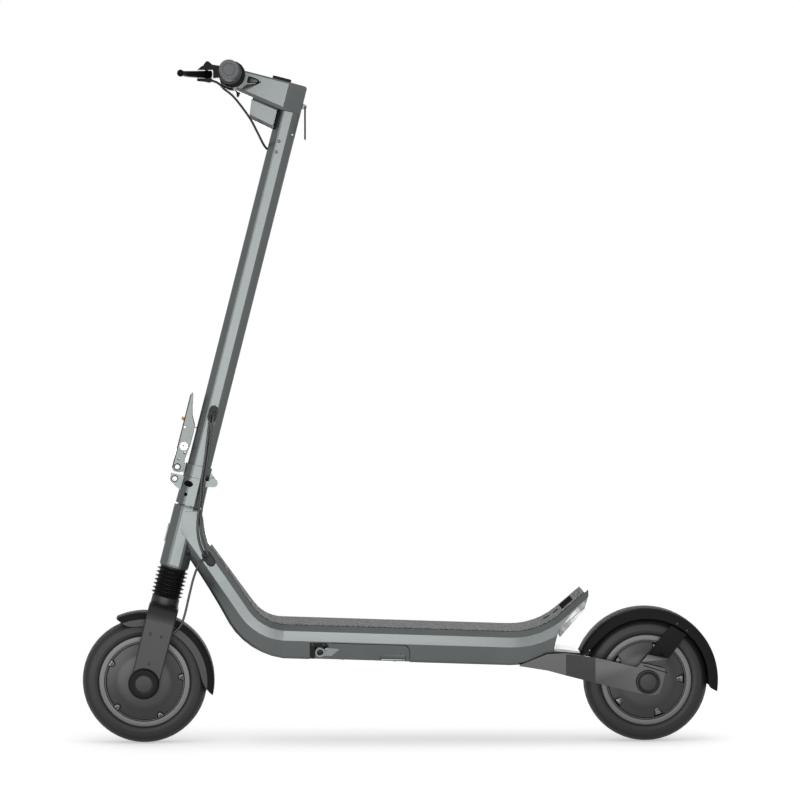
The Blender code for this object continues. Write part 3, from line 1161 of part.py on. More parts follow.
# Head tube and the web behind it
tube = octagon_rings([(HEAD_TUBE_HALF - 0.0006, HEAD_TUBE_BOTTOM),
                      (HEAD_TUBE_HALF, HEAD_TUBE_BOTTOM + 0.004), (HEAD_TUBE_HALF, HEAD_TUBE_TOP - 0.004),
                      (HEAD_TUBE_HALF - 0.0006, HEAD_TUBE_TOP)], 0.006)
join(deck, lofted(tube), steering)
WEB_BACK = [(0.0235, HEAD_TUBE_TOP - 0.0015), (0.0300, HEAD_TUBE_TOP - 0.0140),
            (0.0342, HEAD_TUBE_TOP - 0.0260), (0.0415, HEAD_TUBE_TOP - 0.0420),
            (0.0520, HEAD_TUBE_TOP - 0.0600), (0.0520, HEAD_TUBE_TOP - 0.0800),
            (0.0, HEAD_TUBE_TOP - 0.0800), (0.0, HEAD_TUBE_TOP - 0.0015)]
web_rings = []
for y, shrink in ((-0.0200, 0.008), (-0.0130, 0.0), (0.0130, 0.0), (0.0200, 0.008)):
    web_rings.append([(max(x - shrink, 0.0) if i < 5 else x, y, z) for i, (x, z) in enumerate(WEB_BACK)])
join(deck, lofted(web_rings), steering)
cut(deck, rod(HEAD_TUBE_BORE, (0, 0), HEAD_TUBE_BOTTOM - 0.02, HEAD_TUBE_TOP + 0.02, "Z", TUBE_SEGMENTS),
    steering)

# Underside of the tail, given from the tail bend
BEND_X, BEND_Z = REAR_AXLE_X - UNDERCUT_SETBACK, UNDERCUT_HEIGHT


def from_bend(*points):
    return [(BEND_X + x, BEND_Z + z) for x, z in points]


undercut = from_bend((-0.0310, -0.0597), (0.0197, -0.0393), (0.0330, -0.0388), (0.0333, -0.0265),
                     (0.0409, 0.0050), (0.0635, 0.0309), (0.0938, 0.0615), (0.0943, 0.1000),
                     (0.1500, 0.1000), (0.1500, -0.1500), (-0.0310, -0.1500))
cut(deck, prism(undercut, -0.12, 0.12))

# Battery bay, in deck coordinates: x along the deck from its front bend, z square to the mat
FRONT_BEND_POINT = Vector((DECK_ROWS[FLARE_END][0], 0, DECK_ROWS[FLARE_END][1]))
plane = carrier("deck_plane", FRONT_BEND_POINT, turn=DECK_SLOPE)
BAY_START = 0.012
BAY_END = BAY_START + BAY_LENGTH
cut(deck, block((BAY_START, -BAY_HALF_WIDTH, -DECK_DEPTH - 0.02),
                (BAY_END, BAY_HALF_WIDTH, -MAT_THICKNESS - BAY_ROOF)), plane)
COVER_EDGE = 0.005
cut(deck, block((BAY_START - COVER_EDGE, -BAY_HALF_WIDTH - COVER_EDGE, -DECK_DEPTH - 0.02),
                (BAY_END + COVER_EDGE, BAY_HALF_WIDTH + COVER_EDGE, -DECK_DEPTH + BELLY_THICKNESS + GAP)),
    plane)
belly_outline = rounded([(BAY_START - COVER_EDGE + GAP, -BAY_HALF_WIDTH - COVER_EDGE + GAP),
                         (BAY_END + COVER_EDGE - GAP, -BAY_HALF_WIDTH - COVER_EDGE + GAP),
                         (BAY_END + COVER_EDGE - GAP, BAY_HALF_WIDTH + COVER_EDGE - GAP),
                         (BAY_START - COVER_EDGE + GAP, BAY_HALF_WIDTH + COVER_EDGE - GAP)], 0.003, 2)
add("belly_cover", prism(belly_outline, -DECK_DEPTH, -DECK_DEPTH + BELLY_THICKNESS, "Z"), plane, DARK_PAINT)
PACK_ROOF = -MAT_THICKNESS - BAY_ROOF - 0.002
PACK_FLOOR = -DECK_DEPTH + BELLY_THICKNESS + 0.0015
soften(add("controller", block((BAY_START + 0.003, -0.045, PACK_FLOOR),
                               (BAY_START + 0.003 + CONTROLLER_LENGTH, 0.045, PACK_ROOF - 0.006)), plane,
           ALLOY), 0.002)
soften(add("battery_pack", block((BAY_END - 0.003 - BATTERY_LENGTH, -BAY_HALF_WIDTH + 0.003, PACK_FLOOR),
                                 (BAY_END - 0.003, BAY_HALF_WIDTH - 0.003, PACK_ROOF)), plane, PACK_BLUE),
       0.004)

# Mat with its cross slots on the neck and the tail
mat_rows = [(row, s) for row, s in zip(DECK_ROWS, LENGTHS)]
MAT_START, MAT_END_CUT = 0.044, 0.0858
mat = add("deck_mat", lofted([deck_ring(row, s, mat_section) for row, s in mat_rows]), None, GRIP_TAPE)
neck_dir = Vector((math.cos(DECK_ROWS[0][2]), 0, math.sin(DECK_ROWS[0][2])))
neck_start = Vector((DECK_ROWS[0][0], 0, DECK_ROWS[0][1]))
mat_front = neck_start + neck_dir * MAT_START
neck_plane = carrier("neck_plane", mat_front, turn=NECK_ANGLE)
cut(mat, block((-0.20, -0.1, -0.1), (0.0, 0.1, 0.1)), neck_plane)
cut(mat, prism(from_bend((MAT_END_CUT, -0.2), (0.3, -0.2), (0.3, 0.3), (MAT_END_CUT, 0.3)), -0.1, 0.1))
SLOT_WIDTH = 0.006
for k in range(3):
    x = 0.010 + k * 0.020
    cut(mat, block((x, -0.009 - 0.003 * k, -0.01), (x + SLOT_WIDTH, 0.009 + 0.003 * k, 0.01)), neck_plane)
tail_plane = carrier("tail_plane", (DECK_ROWS[-1][0], 0, DECK_ROWS[-1][1]), turn=-TAIL_ANGLE)
for k in range(3):
    x = -0.0363 - k * 0.018
    cut(mat, block((x, -0.040, -0.01), (x + SLOT_WIDTH, 0.040, 0.01)), tail_plane)

# Front plate on the head tube, bare
add("front_plate", prism(rounded([(-0.0085, HEAD_TUBE_TOP - 0.070), (0.0085, HEAD_TUBE_TOP - 0.070),
                                  (0.0085, HEAD_TUBE_TOP - 0.038), (-0.0085, HEAD_TUBE_TOP - 0.038)], 0.003,
                                 2), -HEAD_TUBE_HALF - 0.0022, -HEAD_TUBE_HALF - GAP, "X"), steering, ALLOY)

# Cable port in the neck's left side, with a hole for each of the three cables
PORT = (0.0564, HEAD_TUBE_TOP - 0.0797)
PORT_HALF = (0.0078, 0.0158)
PORT_FACE = 0.0300
PORT_BACK = 0.0183
CABLE_HOLES = ((-0.0095, -0.0025), (-0.0040, 0.0030), (-0.0030, -0.0040))
PORT_AT = steering_to_world(PORT[0], 0, PORT[1])
port_plane = carrier("port_plane", (PORT_AT.x, 0, PORT_AT.z), turn=NECK_ANGLE)


def lying(outline):
    """An outline turned to lie along its first axis."""
    return [(b, a) for a, b in outline]


cut(deck, prism(lying(oval((0, 0), (PORT_HALF[0] + GAP, PORT_HALF[1] + GAP))), -0.08, -PORT_BACK + GAP),
    port_plane)
port = add("frame_grommet", prism(lying(oval((0, 0), PORT_HALF)), -PORT_FACE, -PORT_BACK), port_plane,
           RUBBER)
soften(port, 0.0012)
for hole in CABLE_HOLES:
    cut(port, rod(CABLE_RADIUS + 0.0004, hole, -0.05, -PORT_BACK - 0.003, segments=12), port_plane)


# Kickstand, its bracket and the side panel, in the deck's left side

def side_plane(name, x, z, side):
    """A plane on the leaning side of the deck, at a place given in deck coordinates."""
    y = DECK_HALF_WIDTH - (-z - CREASE) * math.tan(SIDE_LEAN)
    return carrier(name, (x, side * y, z), plane, lean=-side * SIDE_LEAN)


def in_deck(x, z):
    """World coordinates, turned into deck coordinates without moving their origin."""
    c, s = math.cos(DECK_SLOPE), math.sin(DECK_SLOPE)
    return x * c - z * s, x * s + z * c


def from_stand(*points):
    """Points measured level with the ground from the stand's pivot, turned to follow the deck."""
    return [in_deck(x, z) for x, z in points]


STAND_FROM_BEND = (-0.3815, -0.0353)
stand_x, stand_z = in_deck(BEND_X + STAND_FROM_BEND[0] - FRONT_BEND_POINT.x,
                           BEND_Z + STAND_FROM_BEND[1] - FRONT_BEND_POINT.z)
stand = side_plane("stand_plane", stand_x, stand_z, -1)
RECESS_DEPTH = PANEL_THICKNESS + STAND_THICKNESS + 0.002
recess = from_stand((-0.0184, 0.0184), (0.0140, 0.0180), (0.1540, 0.0132), (0.1584, 0.0044),
                    (0.1584, -0.0600), (-0.0184, -0.0600))
cut(deck, prism(rounded(recess, [0.001, 0, 0.004, 0.004, 0, 0], 2), -0.02, RECESS_DEPTH), stand)
panel = from_stand((0.0146, 0.0175), (0.1535, 0.0127), (0.1580, 0.0042), (0.1580, -0.0146),
                   (0.1512, -0.0144), (0.1512, -0.0050), (0.1060, -0.0035), (0.1060, -0.0128),
                   (0.0194, -0.0098), (0.0370, 0.0063), (0.0146, 0.0080))
panel_corners = [0.0, 0.004, 0.004, 0.0, 0.0, 0.002, 0.002, 0.0, 0.001, 0.002, 0.0]
add("side_cover", prism(rounded([(x + GAP / 2, z - GAP) for x, z in panel], panel_corners, 2), 0.0,
                        PANEL_THICKNESS), stand, DARK_PAINT)
bracket_side = from_stand((-0.0180, 0.0180), (0.0120, 0.0176), (0.0120, 0.0102), (-0.0094, 0.0102),
                          (-0.0094, -0.0125), (-0.0180, -0.0122))
bracket = add("kickstand_bracket", prism(bracket_side, GAP, RECESS_DEPTH - GAP), stand, DARK_PAINT)
for screw in from_stand((-0.0133, 0.0140), (0.0061, 0.0138)):
    cut(bracket, rod(0.0024, screw, -0.01, 0.002, segments=12), stand)
join(bracket, prism(from_stand((-0.0120, 0.0120), (0.0100, 0.0120), (0.0100, -0.0090), (-0.0120, -0.0090)),
                    RECESS_DEPTH - 0.0014, RECESS_DEPTH - GAP), stand)
join(bracket, rod(STAND_BOLT, (0, 0), 0.001, RECESS_DEPTH - 0.001), stand)
join(bracket, rod(0.0066, (0, 0), -0.0010, PANEL_THICKNESS - GAP, segments=CYLINDER_SEGMENTS), stand)
stand_holder = carrier("kickstand_axis", (0, 0, 0), stand)
leg_outline = from_stand((0.012, 0.0071), (0.045, 0.0068), (0.108, -0.0010), (0.112, -0.0050),
                         (STAND_LENGTH, -0.0060), (STAND_LENGTH, -0.0118), (0.100, -0.0104),
                         (0.000, -STAND_BOSS + 0.0008), (-0.004, 0.0))
LEG_FACE = PANEL_THICKNESS + GAP
leg = add("kickstand", prism(leg_outline, LEG_FACE, LEG_FACE + STAND_THICKNESS), stand_holder, ALLOY)
join(leg, rod(STAND_BOSS, (0, 0), LEG_FACE, LEG_FACE + STAND_THICKNESS), stand_holder)
cut(leg, rod(STAND_BOLT + PIN_GAP, (0, 0), -0.1, 0.1, segments=CYLINDER_SEGMENTS), stand_holder)

# Charge port and its cap, in the deck's right side
charge = side_plane("charge_plane", 0.045, -0.0415, 1)
PORT_RADIUS = 0.0085
CAP_HALF = 0.011
CAP_TOP = 0.0125
cut(deck, rod(PORT_RADIUS, (0, 0), -0.009, 0.02), charge)
cap_holder = carrier("charge_cap_axis", (0, 0.0016, CAP_TOP), charge)
cap = add("charge_cap", prism(rounded([(-CAP_HALF, -CAP_HALF), (CAP_HALF, -CAP_HALF), (CAP_HALF, CAP_TOP),
                                       (-CAP_HALF, CAP_TOP)], 0.003, 2), GAP, 0.0030), cap_holder, RUBBER)
join(cap, rod(PORT_RADIUS - 0.0015, (0, 0), -0.005, 0.001), cap_holder)

# Tail light under the tail
lens_outline = from_bend((0.0436, -0.0120), (0.0412 + GAP, 0.0050 - 0.0006), (0.0636, 0.0303),
                         (0.0936, 0.0606), (0.0870, 0.0376))
LENS_HALF = 0.058
add("tail_light_lens", prism(lens_outline, -LENS_HALF, LENS_HALF), None, CLEAR)

# Splash guard between the deck and the rear mudguard
splash = from_bend((0.0345, -0.0346), (0.0480, -0.0340), (0.0800, -0.0385), (0.0800, -0.0415),
                   (0.0345, -0.0380))
add("splash_guard", prism(splash, -0.0480, 0.0480), None, ALLOY)


# Rear fork

def rear_arm(side):
    """One arm, a flat bar bent inwards behind the deck. Stations are (x, top, bottom) from the axle."""
    stations = [(-0.2290, 0.0325, 0.0305), (-0.1800, 0.0519, 0.0226), (-0.1470, 0.0520, 0.0136),
                (-0.0935, 0.0437, -0.0015), (-0.0206, 0.0262, -0.0189), (-0.0120, 0.0337, -0.0213),
                (0.0030, 0.0308, -0.0240), (0.0190, 0.0266, -0.0215), (0.0250, 0.0250, -0.0080),
                (0.0300, 0.0229, 0.0150)]
    rings = []
    for x, top, bottom in stations:
        share = min(1.0, max(0.0, (x + 0.1470) / 0.0535))
        outer = ARM_FRONT_OUTER + (ARM_REAR_OUTER - ARM_FRONT_OUTER) * share
        near, far = side * (outer - ARM_THICKNESS), side * outer
        rings.append([(x, near, bottom), (x, far, bottom), (x, far, top), (x, near, top)])
    return lofted(rings)


rear_fork = add("rear_fork", rear_arm(-1), rear, PAINT)
join(rear_fork, rear_arm(1), rear)
cross = [(-0.2260, 0.0325), (-0.1800, 0.0508), (-0.1700, 0.0510), (-0.1700, 0.0420), (-0.1780, 0.0400),
         (-0.2230, 0.0305)]
join(rear_fork, prism(cross, -ARM_FRONT_OUTER + 0.002, ARM_FRONT_OUTER - 0.002), rear)
cut(rear_fork, rod(AXLE_RADIUS + GAP, (0, 0), -0.1, 0.1), rear)


# Cables held along the scooter

CABLE_SPACING = 0.012
# Distance behind the steering axis, share of the way out to the lever, and height above the stem's top
UPPER_BENDS = [(-0.1485, 1.0, 0.0144), (-0.1431, 1.0, 0.0155), (-0.1345, 0.973, 0.0152),
               (-0.1258, 0.922, 0.0123), (-0.1192, 0.875, 0.0078), (-0.0980, 0.703, -0.0020),
               (-0.0647, 0.430, -0.0280), (-0.0448, 0.234, -0.0494), (-0.0290, 0.0625, -0.0672)]
upper_route = [(x, CABLE_START.y * share, STEM_TOP + rise) for x, share, rise in UPPER_BENDS]
upper_route += [(-0.0215, 0.0, CABLE_ENTRY + 0.0008), (-0.0165, 0.0, CABLE_ENTRY)]
cable("brake_cable_upper", smooth_route(upper_route, CABLE_SPACING), CABLE_RADIUS, fold, RUBBER)
port_x, port_z = GROMMET
first_hole, second_hole = [(port_x + dx, port_z + dz) for dx, dz in PORT_HOLES]


def port_hole(index):
    """Where one of the port's holes lies, in steering coordinates."""
    x, z = CABLE_HOLES[index]
    turn = NECK_ANGLE - HEAD_ANGLE
    c, s = math.cos(turn), math.sin(turn)
    return PORT[0] + x * c + z * s, PORT[1] - x * s + z * c


def port_end(index):
    """The last points of a cable that bends into one of the port's holes."""
    x, z = port_hole(index)
    return [(x, -PORT_FACE - 0.0060, z), (x, -PORT_FACE - 0.0015, z), (x, -PORT_FACE + 0.0030, z)]


front_route = [(first_hole[0], -0.0190, first_hole[1]), (first_hole[0], -0.0255, first_hole[1]),
               (-0.0010, -0.0285, first_hole[1] - 0.0120), (0.0035, -0.0290, 0.4400),
               (0.0075, -0.0290, 0.4080), (0.0110, -0.0290, 0.3700), (0.0165, -0.0295, 0.3400),
               (0.0200, -0.0298, 0.3100), (0.0250, -0.0305, 0.2850), (0.0350, -0.0345, 0.2620),
               *port_end(0)]
back_route = [(second_hole[0], -0.0190, second_hole[1]), (second_hole[0], -0.0255, second_hole[1]),
              (0.0035, -0.0285, second_hole[1] - 0.0120), (0.0080, -0.0288, 0.4400),
              (0.0120, -0.0288, 0.4080), (0.0160, -0.0288, 0.3700), (0.0215, -0.0290, 0.3400),
              (0.0250, -0.0293, 0.3100), (0.0310, -0.0303, 0.2850), (0.0430, -0.0345, 0.2620), *port_end(1)]
for name, route in (("port_cable_front", front_route), ("port_cable_back", back_route)):
    cable(name, smooth_route(route, CABLE_SPACING), CABLE_RADIUS, steering, RUBBER)
lower_route = [*reversed(port_end(2)), (0.0440, -0.0385, 0.2320), (0.0403, -0.0400, 0.2160),
               (0.0389, -0.0420, 0.1960), (0.0394, -0.0435, 0.1650), (0.0399, -0.0450, 0.1320),
               (0.0370, -0.0465, 0.1120), (0.0275, -0.0470, 0.0990), (0.0150, -0.0475, 0.0830),
               (0.0000, -0.0480, 0.0600), (-0.0130, -0.0483, 0.0420), (-0.0185, -0.0484, 0.0312)]
cable("brake_cable_lower", smooth_route(lower_route, CABLE_SPACING), CABLE_RADIUS, fork, RUBBER)
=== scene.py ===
"""Looks of the folding electric scooter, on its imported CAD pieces.

Metres, +Z up, the front to -X and the rider's left to -Y. Pieces of the front are drawn in steering
coordinates: x behind the steering axis, z along it from the front axle.
"""
import json
import math

import bmesh
import bpy
import numpy as np
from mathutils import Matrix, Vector
from mathutils.bvhtree import BVHTree


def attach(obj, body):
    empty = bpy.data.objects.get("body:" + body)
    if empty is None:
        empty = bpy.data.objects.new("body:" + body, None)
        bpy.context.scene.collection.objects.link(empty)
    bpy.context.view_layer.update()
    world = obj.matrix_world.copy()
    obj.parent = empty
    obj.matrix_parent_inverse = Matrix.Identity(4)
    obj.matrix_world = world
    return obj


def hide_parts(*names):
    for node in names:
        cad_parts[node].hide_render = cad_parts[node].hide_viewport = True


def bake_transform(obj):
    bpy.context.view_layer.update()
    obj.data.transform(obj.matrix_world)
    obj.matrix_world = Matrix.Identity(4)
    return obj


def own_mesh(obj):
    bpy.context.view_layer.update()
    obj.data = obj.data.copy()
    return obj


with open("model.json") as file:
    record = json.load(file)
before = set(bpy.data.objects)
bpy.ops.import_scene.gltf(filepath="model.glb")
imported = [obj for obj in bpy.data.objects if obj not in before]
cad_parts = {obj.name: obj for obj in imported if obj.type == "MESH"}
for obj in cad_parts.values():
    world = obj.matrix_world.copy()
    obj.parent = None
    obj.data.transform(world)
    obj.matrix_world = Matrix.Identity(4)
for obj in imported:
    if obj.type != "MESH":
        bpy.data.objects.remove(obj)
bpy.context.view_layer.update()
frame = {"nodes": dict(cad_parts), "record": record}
NODES = frame["nodes"]
BODY_OF = {node: body for body, nodes in frame["record"]["behaviour"]["bodies"].items() for node in nodes}
HEAD_ANGLE = math.radians(14.3)
DECK_SLOPE = math.radians(1.93)
DECK_SIDE_LEAN = math.radians(17)
SIDES = (("left", -1), ("right", 1))


# Places

class Place:
    """An origin and a turn about Y. It takes arrays of local points to the scooter's frame."""

    def __init__(self, origin, tilt=0.0, lean=0.0):
        c, s = math.cos(tilt), math.sin(tilt)
        about_y = np.array(((c, 0, s), (0, 1, 0), (-s, 0, c)))
        c, s = math.cos(lean), math.sin(lean)
        about_x = np.array(((1, 0, 0), (0, c, -s), (0, s, c)))
        self.origin = np.array(origin, float)
        self.turn = about_y @ about_x

    def world(self, points):
        return self.origin + np.asarray(points, float) @ self.turn.T


STEERING = Place((-0.4555, 0, 0.111), HEAD_ANGLE)
REAR = Place((0.4375, 0, 0.111))
COCKPIT = Place((-0.30091, 0, 1.1851))
GROUND = Place((0, 0, 0))
SIDE = Place((-0.1443, -0.07806, 0.1676), lean=DECK_SIDE_LEAN)
BELLY = Place((-0.20807, 0, 0.21792), DECK_SLOPE, math.radians(90))


# Finishes

def math_node(operation, reflected=False):
    """A method that adds one Math node. It takes the wire and what the method is given, or the other way
    round in a reflected form, such as 1 - wire."""
    def method(wire, *others):
        values = (*others, wire) if reflected else (wire, *others)
        return wire.finish.node("Math", {"operation": operation}, dict(enumerate(values)))
    return method


class Wire:
    """A shader socket that takes part in sums."""

    def __init__(self, finish, socket):
        self.finish, self.socket = finish, socket

    def other(self, output):
        """Another output of the same node."""
        return Wire(self.finish, self.socket.node.outputs[output])

    __add__ = __radd__ = math_node("ADD")
    __sub__ = math_node("SUBTRACT")
    __rsub__ = math_node("SUBTRACT", reflected=True)
    __mul__ = __rmul__ = math_node("MULTIPLY")
    __truediv__ = math_node("DIVIDE")
    __rtruediv__ = math_node("DIVIDE", reflected=True)
    __gt__ = math_node("GREATER_THAN")
    __abs__ = math_node("ABSOLUTE")
    sine = math_node("SINE")
    larger = math_node("MAXIMUM")

    def eased(self, low, high):
        """0 below low, 1 above high, and a smooth step between."""
        return self.finish.node("MapRange", {"interpolation_type": "SMOOTHSTEP"},
                                {"Value": self, "From Min": low, "From Max": high})


class Nodes:
    """A node tree with one way to add a node."""

    def __init__(self, tree):
        self.tree = tree

    def put(self, socket, value):
        """A wire is linked to the socket, and a plain value is set on it."""
        if isinstance(value, Wire):
            self.tree.links.new(value.socket, socket)
        else:
            socket.default_value = value

    def node(self, kind, settings=None, values=None, output=0):
        """A shader node with its settings and its inputs, and the wire from one of its outputs. A colour
        ramp's settings are its stops, as (position, colour) pairs, and its interpolation."""
        node = self.tree.nodes.new("ShaderNode" + kind)
        for key, value in (settings or {}).items():
            if key == "stops":
                while len(node.color_ramp.elements) < len(value):
                    node.color_ramp.elements.new(0.5)
                for stop, (position, colour) in zip(node.color_ramp.elements, value):
                    stop.position, stop.color = position, colour
            elif key == "interpolation":
                node.color_ramp.interpolation = value
            else:
                setattr(node, key, value)
        for key, value in (values or {}).items():
            self.put(node.inputs[key], value)
        return Wire(self, node.outputs[output])

    def direct(self):
        """1 to the camera, in reflections and through glass, and 0 for the light that it gives."""
        ray = self.node("LightPath", output="Is Camera Ray")
        return ray.larger(ray.other("Is Glossy Ray")).larger(ray.other("Is Transmission Ray"))

    def mixed(self, factor, first, second):
        """A colour between two colours."""
        return self.node("Mix", {"data_type": "RGBA"}, {0: factor, 6: first, 7: second}, output=2)


class Finish(Nodes):
    """A material: plain values on its Principled shader's sockets, and wires where they vary. Its slot is the
    record's name for this kind of finish."""

    def __init__(self, name, slot, colour, roughness, metallic=0.0, specular=0.5, **sockets):
        self.material = bpy.data.materials.new(name)
        self.material.use_nodes = True
        super().__init__(self.material.node_tree)
        self.slot = slot
        self.shader = self.tree.nodes["Principled BSDF"]
        self.colour = (*colour, 1.0)
        self.set("Base Color", self.colour)
        self.set("Roughness", roughness)
        self.set("Metallic", metallic)
        self.set("Specular IOR Level", specular)
        for socket, value in sockets.items():
            self.set(socket.replace("_", " "), value)

    def set(self, name, value):
        self.put(self.shader.inputs[name], value)

    def spot(self):
        """Object coordinates, which are the scooter's own at rest."""
        return self.node("TexCoord", output="Object")

    def axes(self):
        """The three object coordinates as separate wires."""
        x = self.node("SeparateXYZ", {}, {0: self.spot()})
        return x, x.other(1), x.other(2)

    def noise(self, scale, detail, roughness=0.5):
        return self.node("TexNoise", {}, {"Vector": self.spot(), "Scale": scale, "Detail": detail,
                                          "Roughness": roughness})

    def shade(self, factor, low, high):
        """The finish's own colour, between two levels of brightness."""
        return self.mixed(factor, tuple(c * low for c in self.colour[:3]) + (1.0,),
                          tuple(min(1.0, c * high) for c in self.colour[:3]) + (1.0,))

    def bump(self, height, depth):
        """A bump of the given depth in metres at height 1."""
        self.set("Normal", self.node("Bump", {}, {"Height": height, "Distance": depth}))


def painted(name, slot, colour, roughness, metallic, **sockets):
    """Powder coat with fine metal flakes: flakes lighten the colour, and a soft ripple bends the gloss."""
    paint = Finish(name, slot, colour, roughness, metallic, **sockets)
    flakes = paint.noise(2600, 1.0)
    clouds = paint.noise(9, 3.0)
    bright = flakes.eased(0.35, 0.72) * 0.6 + clouds.eased(0.3, 0.7) * 0.4
    paint.set("Base Color", paint.shade(bright, 0.9, 1.1))
    paint.set("Roughness", clouds.eased(0.25, 0.75) * 0.05 + (roughness - 0.02))
    paint.bump(paint.noise(900, 2.0) + flakes * 0.3, 0.000012)
    return paint


def moulded(name, slot, colour, roughness, grain=700, depth=0.00004, **sockets):
    """Moulded plastic or rubber with a fine spark-eroded grain and slight cloudiness."""
    plastic = Finish(name, slot, colour, roughness, **sockets)
    fine = plastic.noise(grain, 3.0, 0.6)
    clouds = plastic.noise(14, 2.0)
    plastic.set("Base Color", plastic.shade(clouds * 0.6 + fine * 0.4, 0.86, 1.14))
    plastic.set("Roughness", fine.eased(0.3, 0.7) * 0.08 + (roughness - 0.03))
    plastic.bump(fine, depth)
    return plastic


def metal(name, slot, colour, roughness):
    """Bare or lacquered metal with fine upright drawn lines."""
    bare = Finish(name, slot, colour, roughness, 1.0)
    stretched = bare.node("Mapping", {}, {"Vector": bare.spot(), "Scale": (900, 900, 120)})
    lines = bare.node("TexNoise", {}, {"Vector": stretched, "Scale": 1.0, "Detail": 2.0})
    bare.set("Base Color", bare.shade(lines, 0.94, 1.05))
    bare.set("Roughness", lines.eased(0.3, 0.7) * 0.08 + (roughness - 0.03))
    bare.bump(lines, 0.00001)
    return bare


def grit():
    """Deck mat: rubber with short crossing ribs pressed in, and grains of grit that catch the light."""
    mat = Finish("deck grit", "deck_grip", (0.196, 0.196, 0.199), 0.85, specular=0.2)
    x, y, z = mat.axes()
    pitch = 700
    ribs = ((x + y + z * 0.5) * pitch).sine().larger(((x - y + z * 0.5) * pitch).sine())
    grains = mat.node("TexVoronoi", {}, {"Vector": mat.spot(), "Scale": 520.0})
    specks = mat.noise(330, 3.0, 0.7)
    # The colour mixes random specks with painted shade: the mat is darker where the ribs are low.
    mat.set("Base Color", mat.shade(specks.eased(0.36, 0.64) * 0.7 + ribs.eased(-0.4, 1.0) * 0.3, 0.42, 1.62))
    mat.bump(ribs.eased(0.0, 1.0) + grains, 0.0008)
    return mat


def lens_cells():
    """Clear lens over a faceted reflector: each facet's reflection is painted as a step of brightness along
    the lens, which leans by 41 degrees, and the upper of two rows of facets is shifted against the lower one."""
    lens = Finish("tail light cells", "tail_lens", (0.93, 0.93, 0.94), 0.22, Coat_Weight=0.12)
    cosine, sine = 0.7547, 0.6561
    start, length, row_seam, rim = 0.337, 0.088, -0.029, -0.04
    # Painted reflections: (place along the lens, brightness) for the light that each reflector facet throws
    # back.
    steps = ((0.0, 0.02), (0.05, 0.1), (0.13, 0.33), (0.2, 0.2), (0.3, 0.3), (0.37, 0.74), (0.5, 0.96),
             (0.66, 0.62), (0.74, 0.18), (0.83, 0.3), (0.92, 0.03))
    glint_stops = [(place, (painted_glint, painted_glint, painted_glint, 1.0)) for place, painted_glint in steps]
    x, y, z = lens.axes()
    along = x * cosine + z * sine
    across = z * cosine - x * sine
    share = (along - start + (across > row_seam) * 0.007) / length
    painted_glint = lens.node("ValToRGB", {"stops": glint_stops, "interpolation": "CONSTANT"}, {0: share})
    dark_lines = abs(across - row_seam).eased(0.0003, 0.0009) * (across - rim).eased(0.0, 0.0012)
    ridges = (along * 900).sine() * (y * 700).sine()
    shade = lens.shade(dark_lines * (ridges * 0.06 + 0.94), 0.05, 1.0)
    lens.set("Base Color", lens.node("Mix", {"data_type": "RGBA", "blend_type": "MULTIPLY"},
                                     {0: 1.0, 6: painted_glint, 7: shade}, output=2))
    lens.bump(ridges, 0.0003)
    return lens


def fluted_glass():
    """Lamp glass with upright flutes and, between them, a painted reflection of the reflector: a brighter and
    a dimmer band.
    """
    glass = Finish("lamp glass", "lamp_clear", (0.8, 0.83, 0.84), 0.08, Coat_Weight=0.5)
    _, y, z = glass.axes()
    flutes = (y * 1800).sine()
    # Painted reflection: alternating bright and dim bands of the reflector behind the glass.
    painted_reflector_bands = abs((z * 260).sine())
    glass.set("Base Color", glass.shade(flutes.eased(-1.0, 1.0) * 0.4 + painted_reflector_bands * 0.6, 0.72, 1.08))
    glass.bump(flutes, 0.0003)
    return glass


def wrapped_cells():
    """Shrink film over round cells: the film swells over each cell of an 18 mm grid."""
    film = Finish("cell film", "cell_wrap", (0.03, 0.1, 0.34), 0.28)
    x, y, _ = film.axes()
    pitch = 174.5
    cells = (abs((x * pitch).sine()) * abs((y * pitch).sine())).eased(0.0, 1.0)
    # Painted shade: the film is darker in the hollows between the cells and lighter over them.
    film.set("Base Color", film.shade(cells, 0.8, 1.15))
    film.bump(cells, 0.002)
    return film


def grip_rubber():
    """Dark palm rubber with a paler cap on each end."""
    rubber = moulded("grip rubber", "grip_rubber", (0.03, 0.031, 0.032), 0.5, specular=0.25)
    _, y, _ = rubber.axes()
    fine = rubber.noise(700, 3.0, 0.6)
    rubber.set("Base Color", rubber.shade(fine * 0.3 + (abs(y) > 0.2672) * 0.8, 0.75, 4.0))
    return rubber


GRAPHITE = painted("graphite paint", "graphite_paint", (0.108, 0.118, 0.117), 0.33, 0.88)
PANEL = painted("panel paint", "dark_paint", (0.102, 0.112, 0.111), 0.36, 0.88)
FORK_PAINT = painted("fork paint", "dark_satin", (0.0262, 0.0262, 0.0265), 0.4, 0.75)
ARM_PAINT = painted("swing arm paint", "dark_satin", (0.052, 0.052, 0.0525), 0.38, 0.8)
HUB_PAINT = painted("hub paint", "dark_satin", (0.082, 0.0824, 0.083), 0.4, 0.85)
COVER_PAINT = painted("drum cover paint", "dark_satin", (0.0485, 0.0488, 0.0492), 0.46, 0.85)
LUG_PAINT = painted("screw lug paint", "dark_satin", (0.09, 0.0904, 0.0908), 0.34, 0.8)
PAD_PAINT = painted("fork pad paint", "dark_satin", (0.017, 0.017, 0.0173), 0.45, 0.7)
AXLE_PAINT = painted("axle cap paint", "dark_paint", (0.024, 0.024, 0.0244), 0.45, 0.7)
BLACK_PAINT = painted("black paint", "dark_paint", (0.011, 0.011, 0.0115), 0.45, 0.3, specular=0.2)
SILVER = metal("silver lacquer", "silver_alloy", (0.096, 0.104, 0.1), 0.34)
LEG_SILVER = metal("bright lacquer", "silver_alloy", (0.235, 0.246, 0.248), 0.34)
BRIGHT = metal("bright plate", "steel", (0.86, 0.87, 0.87), 0.22)
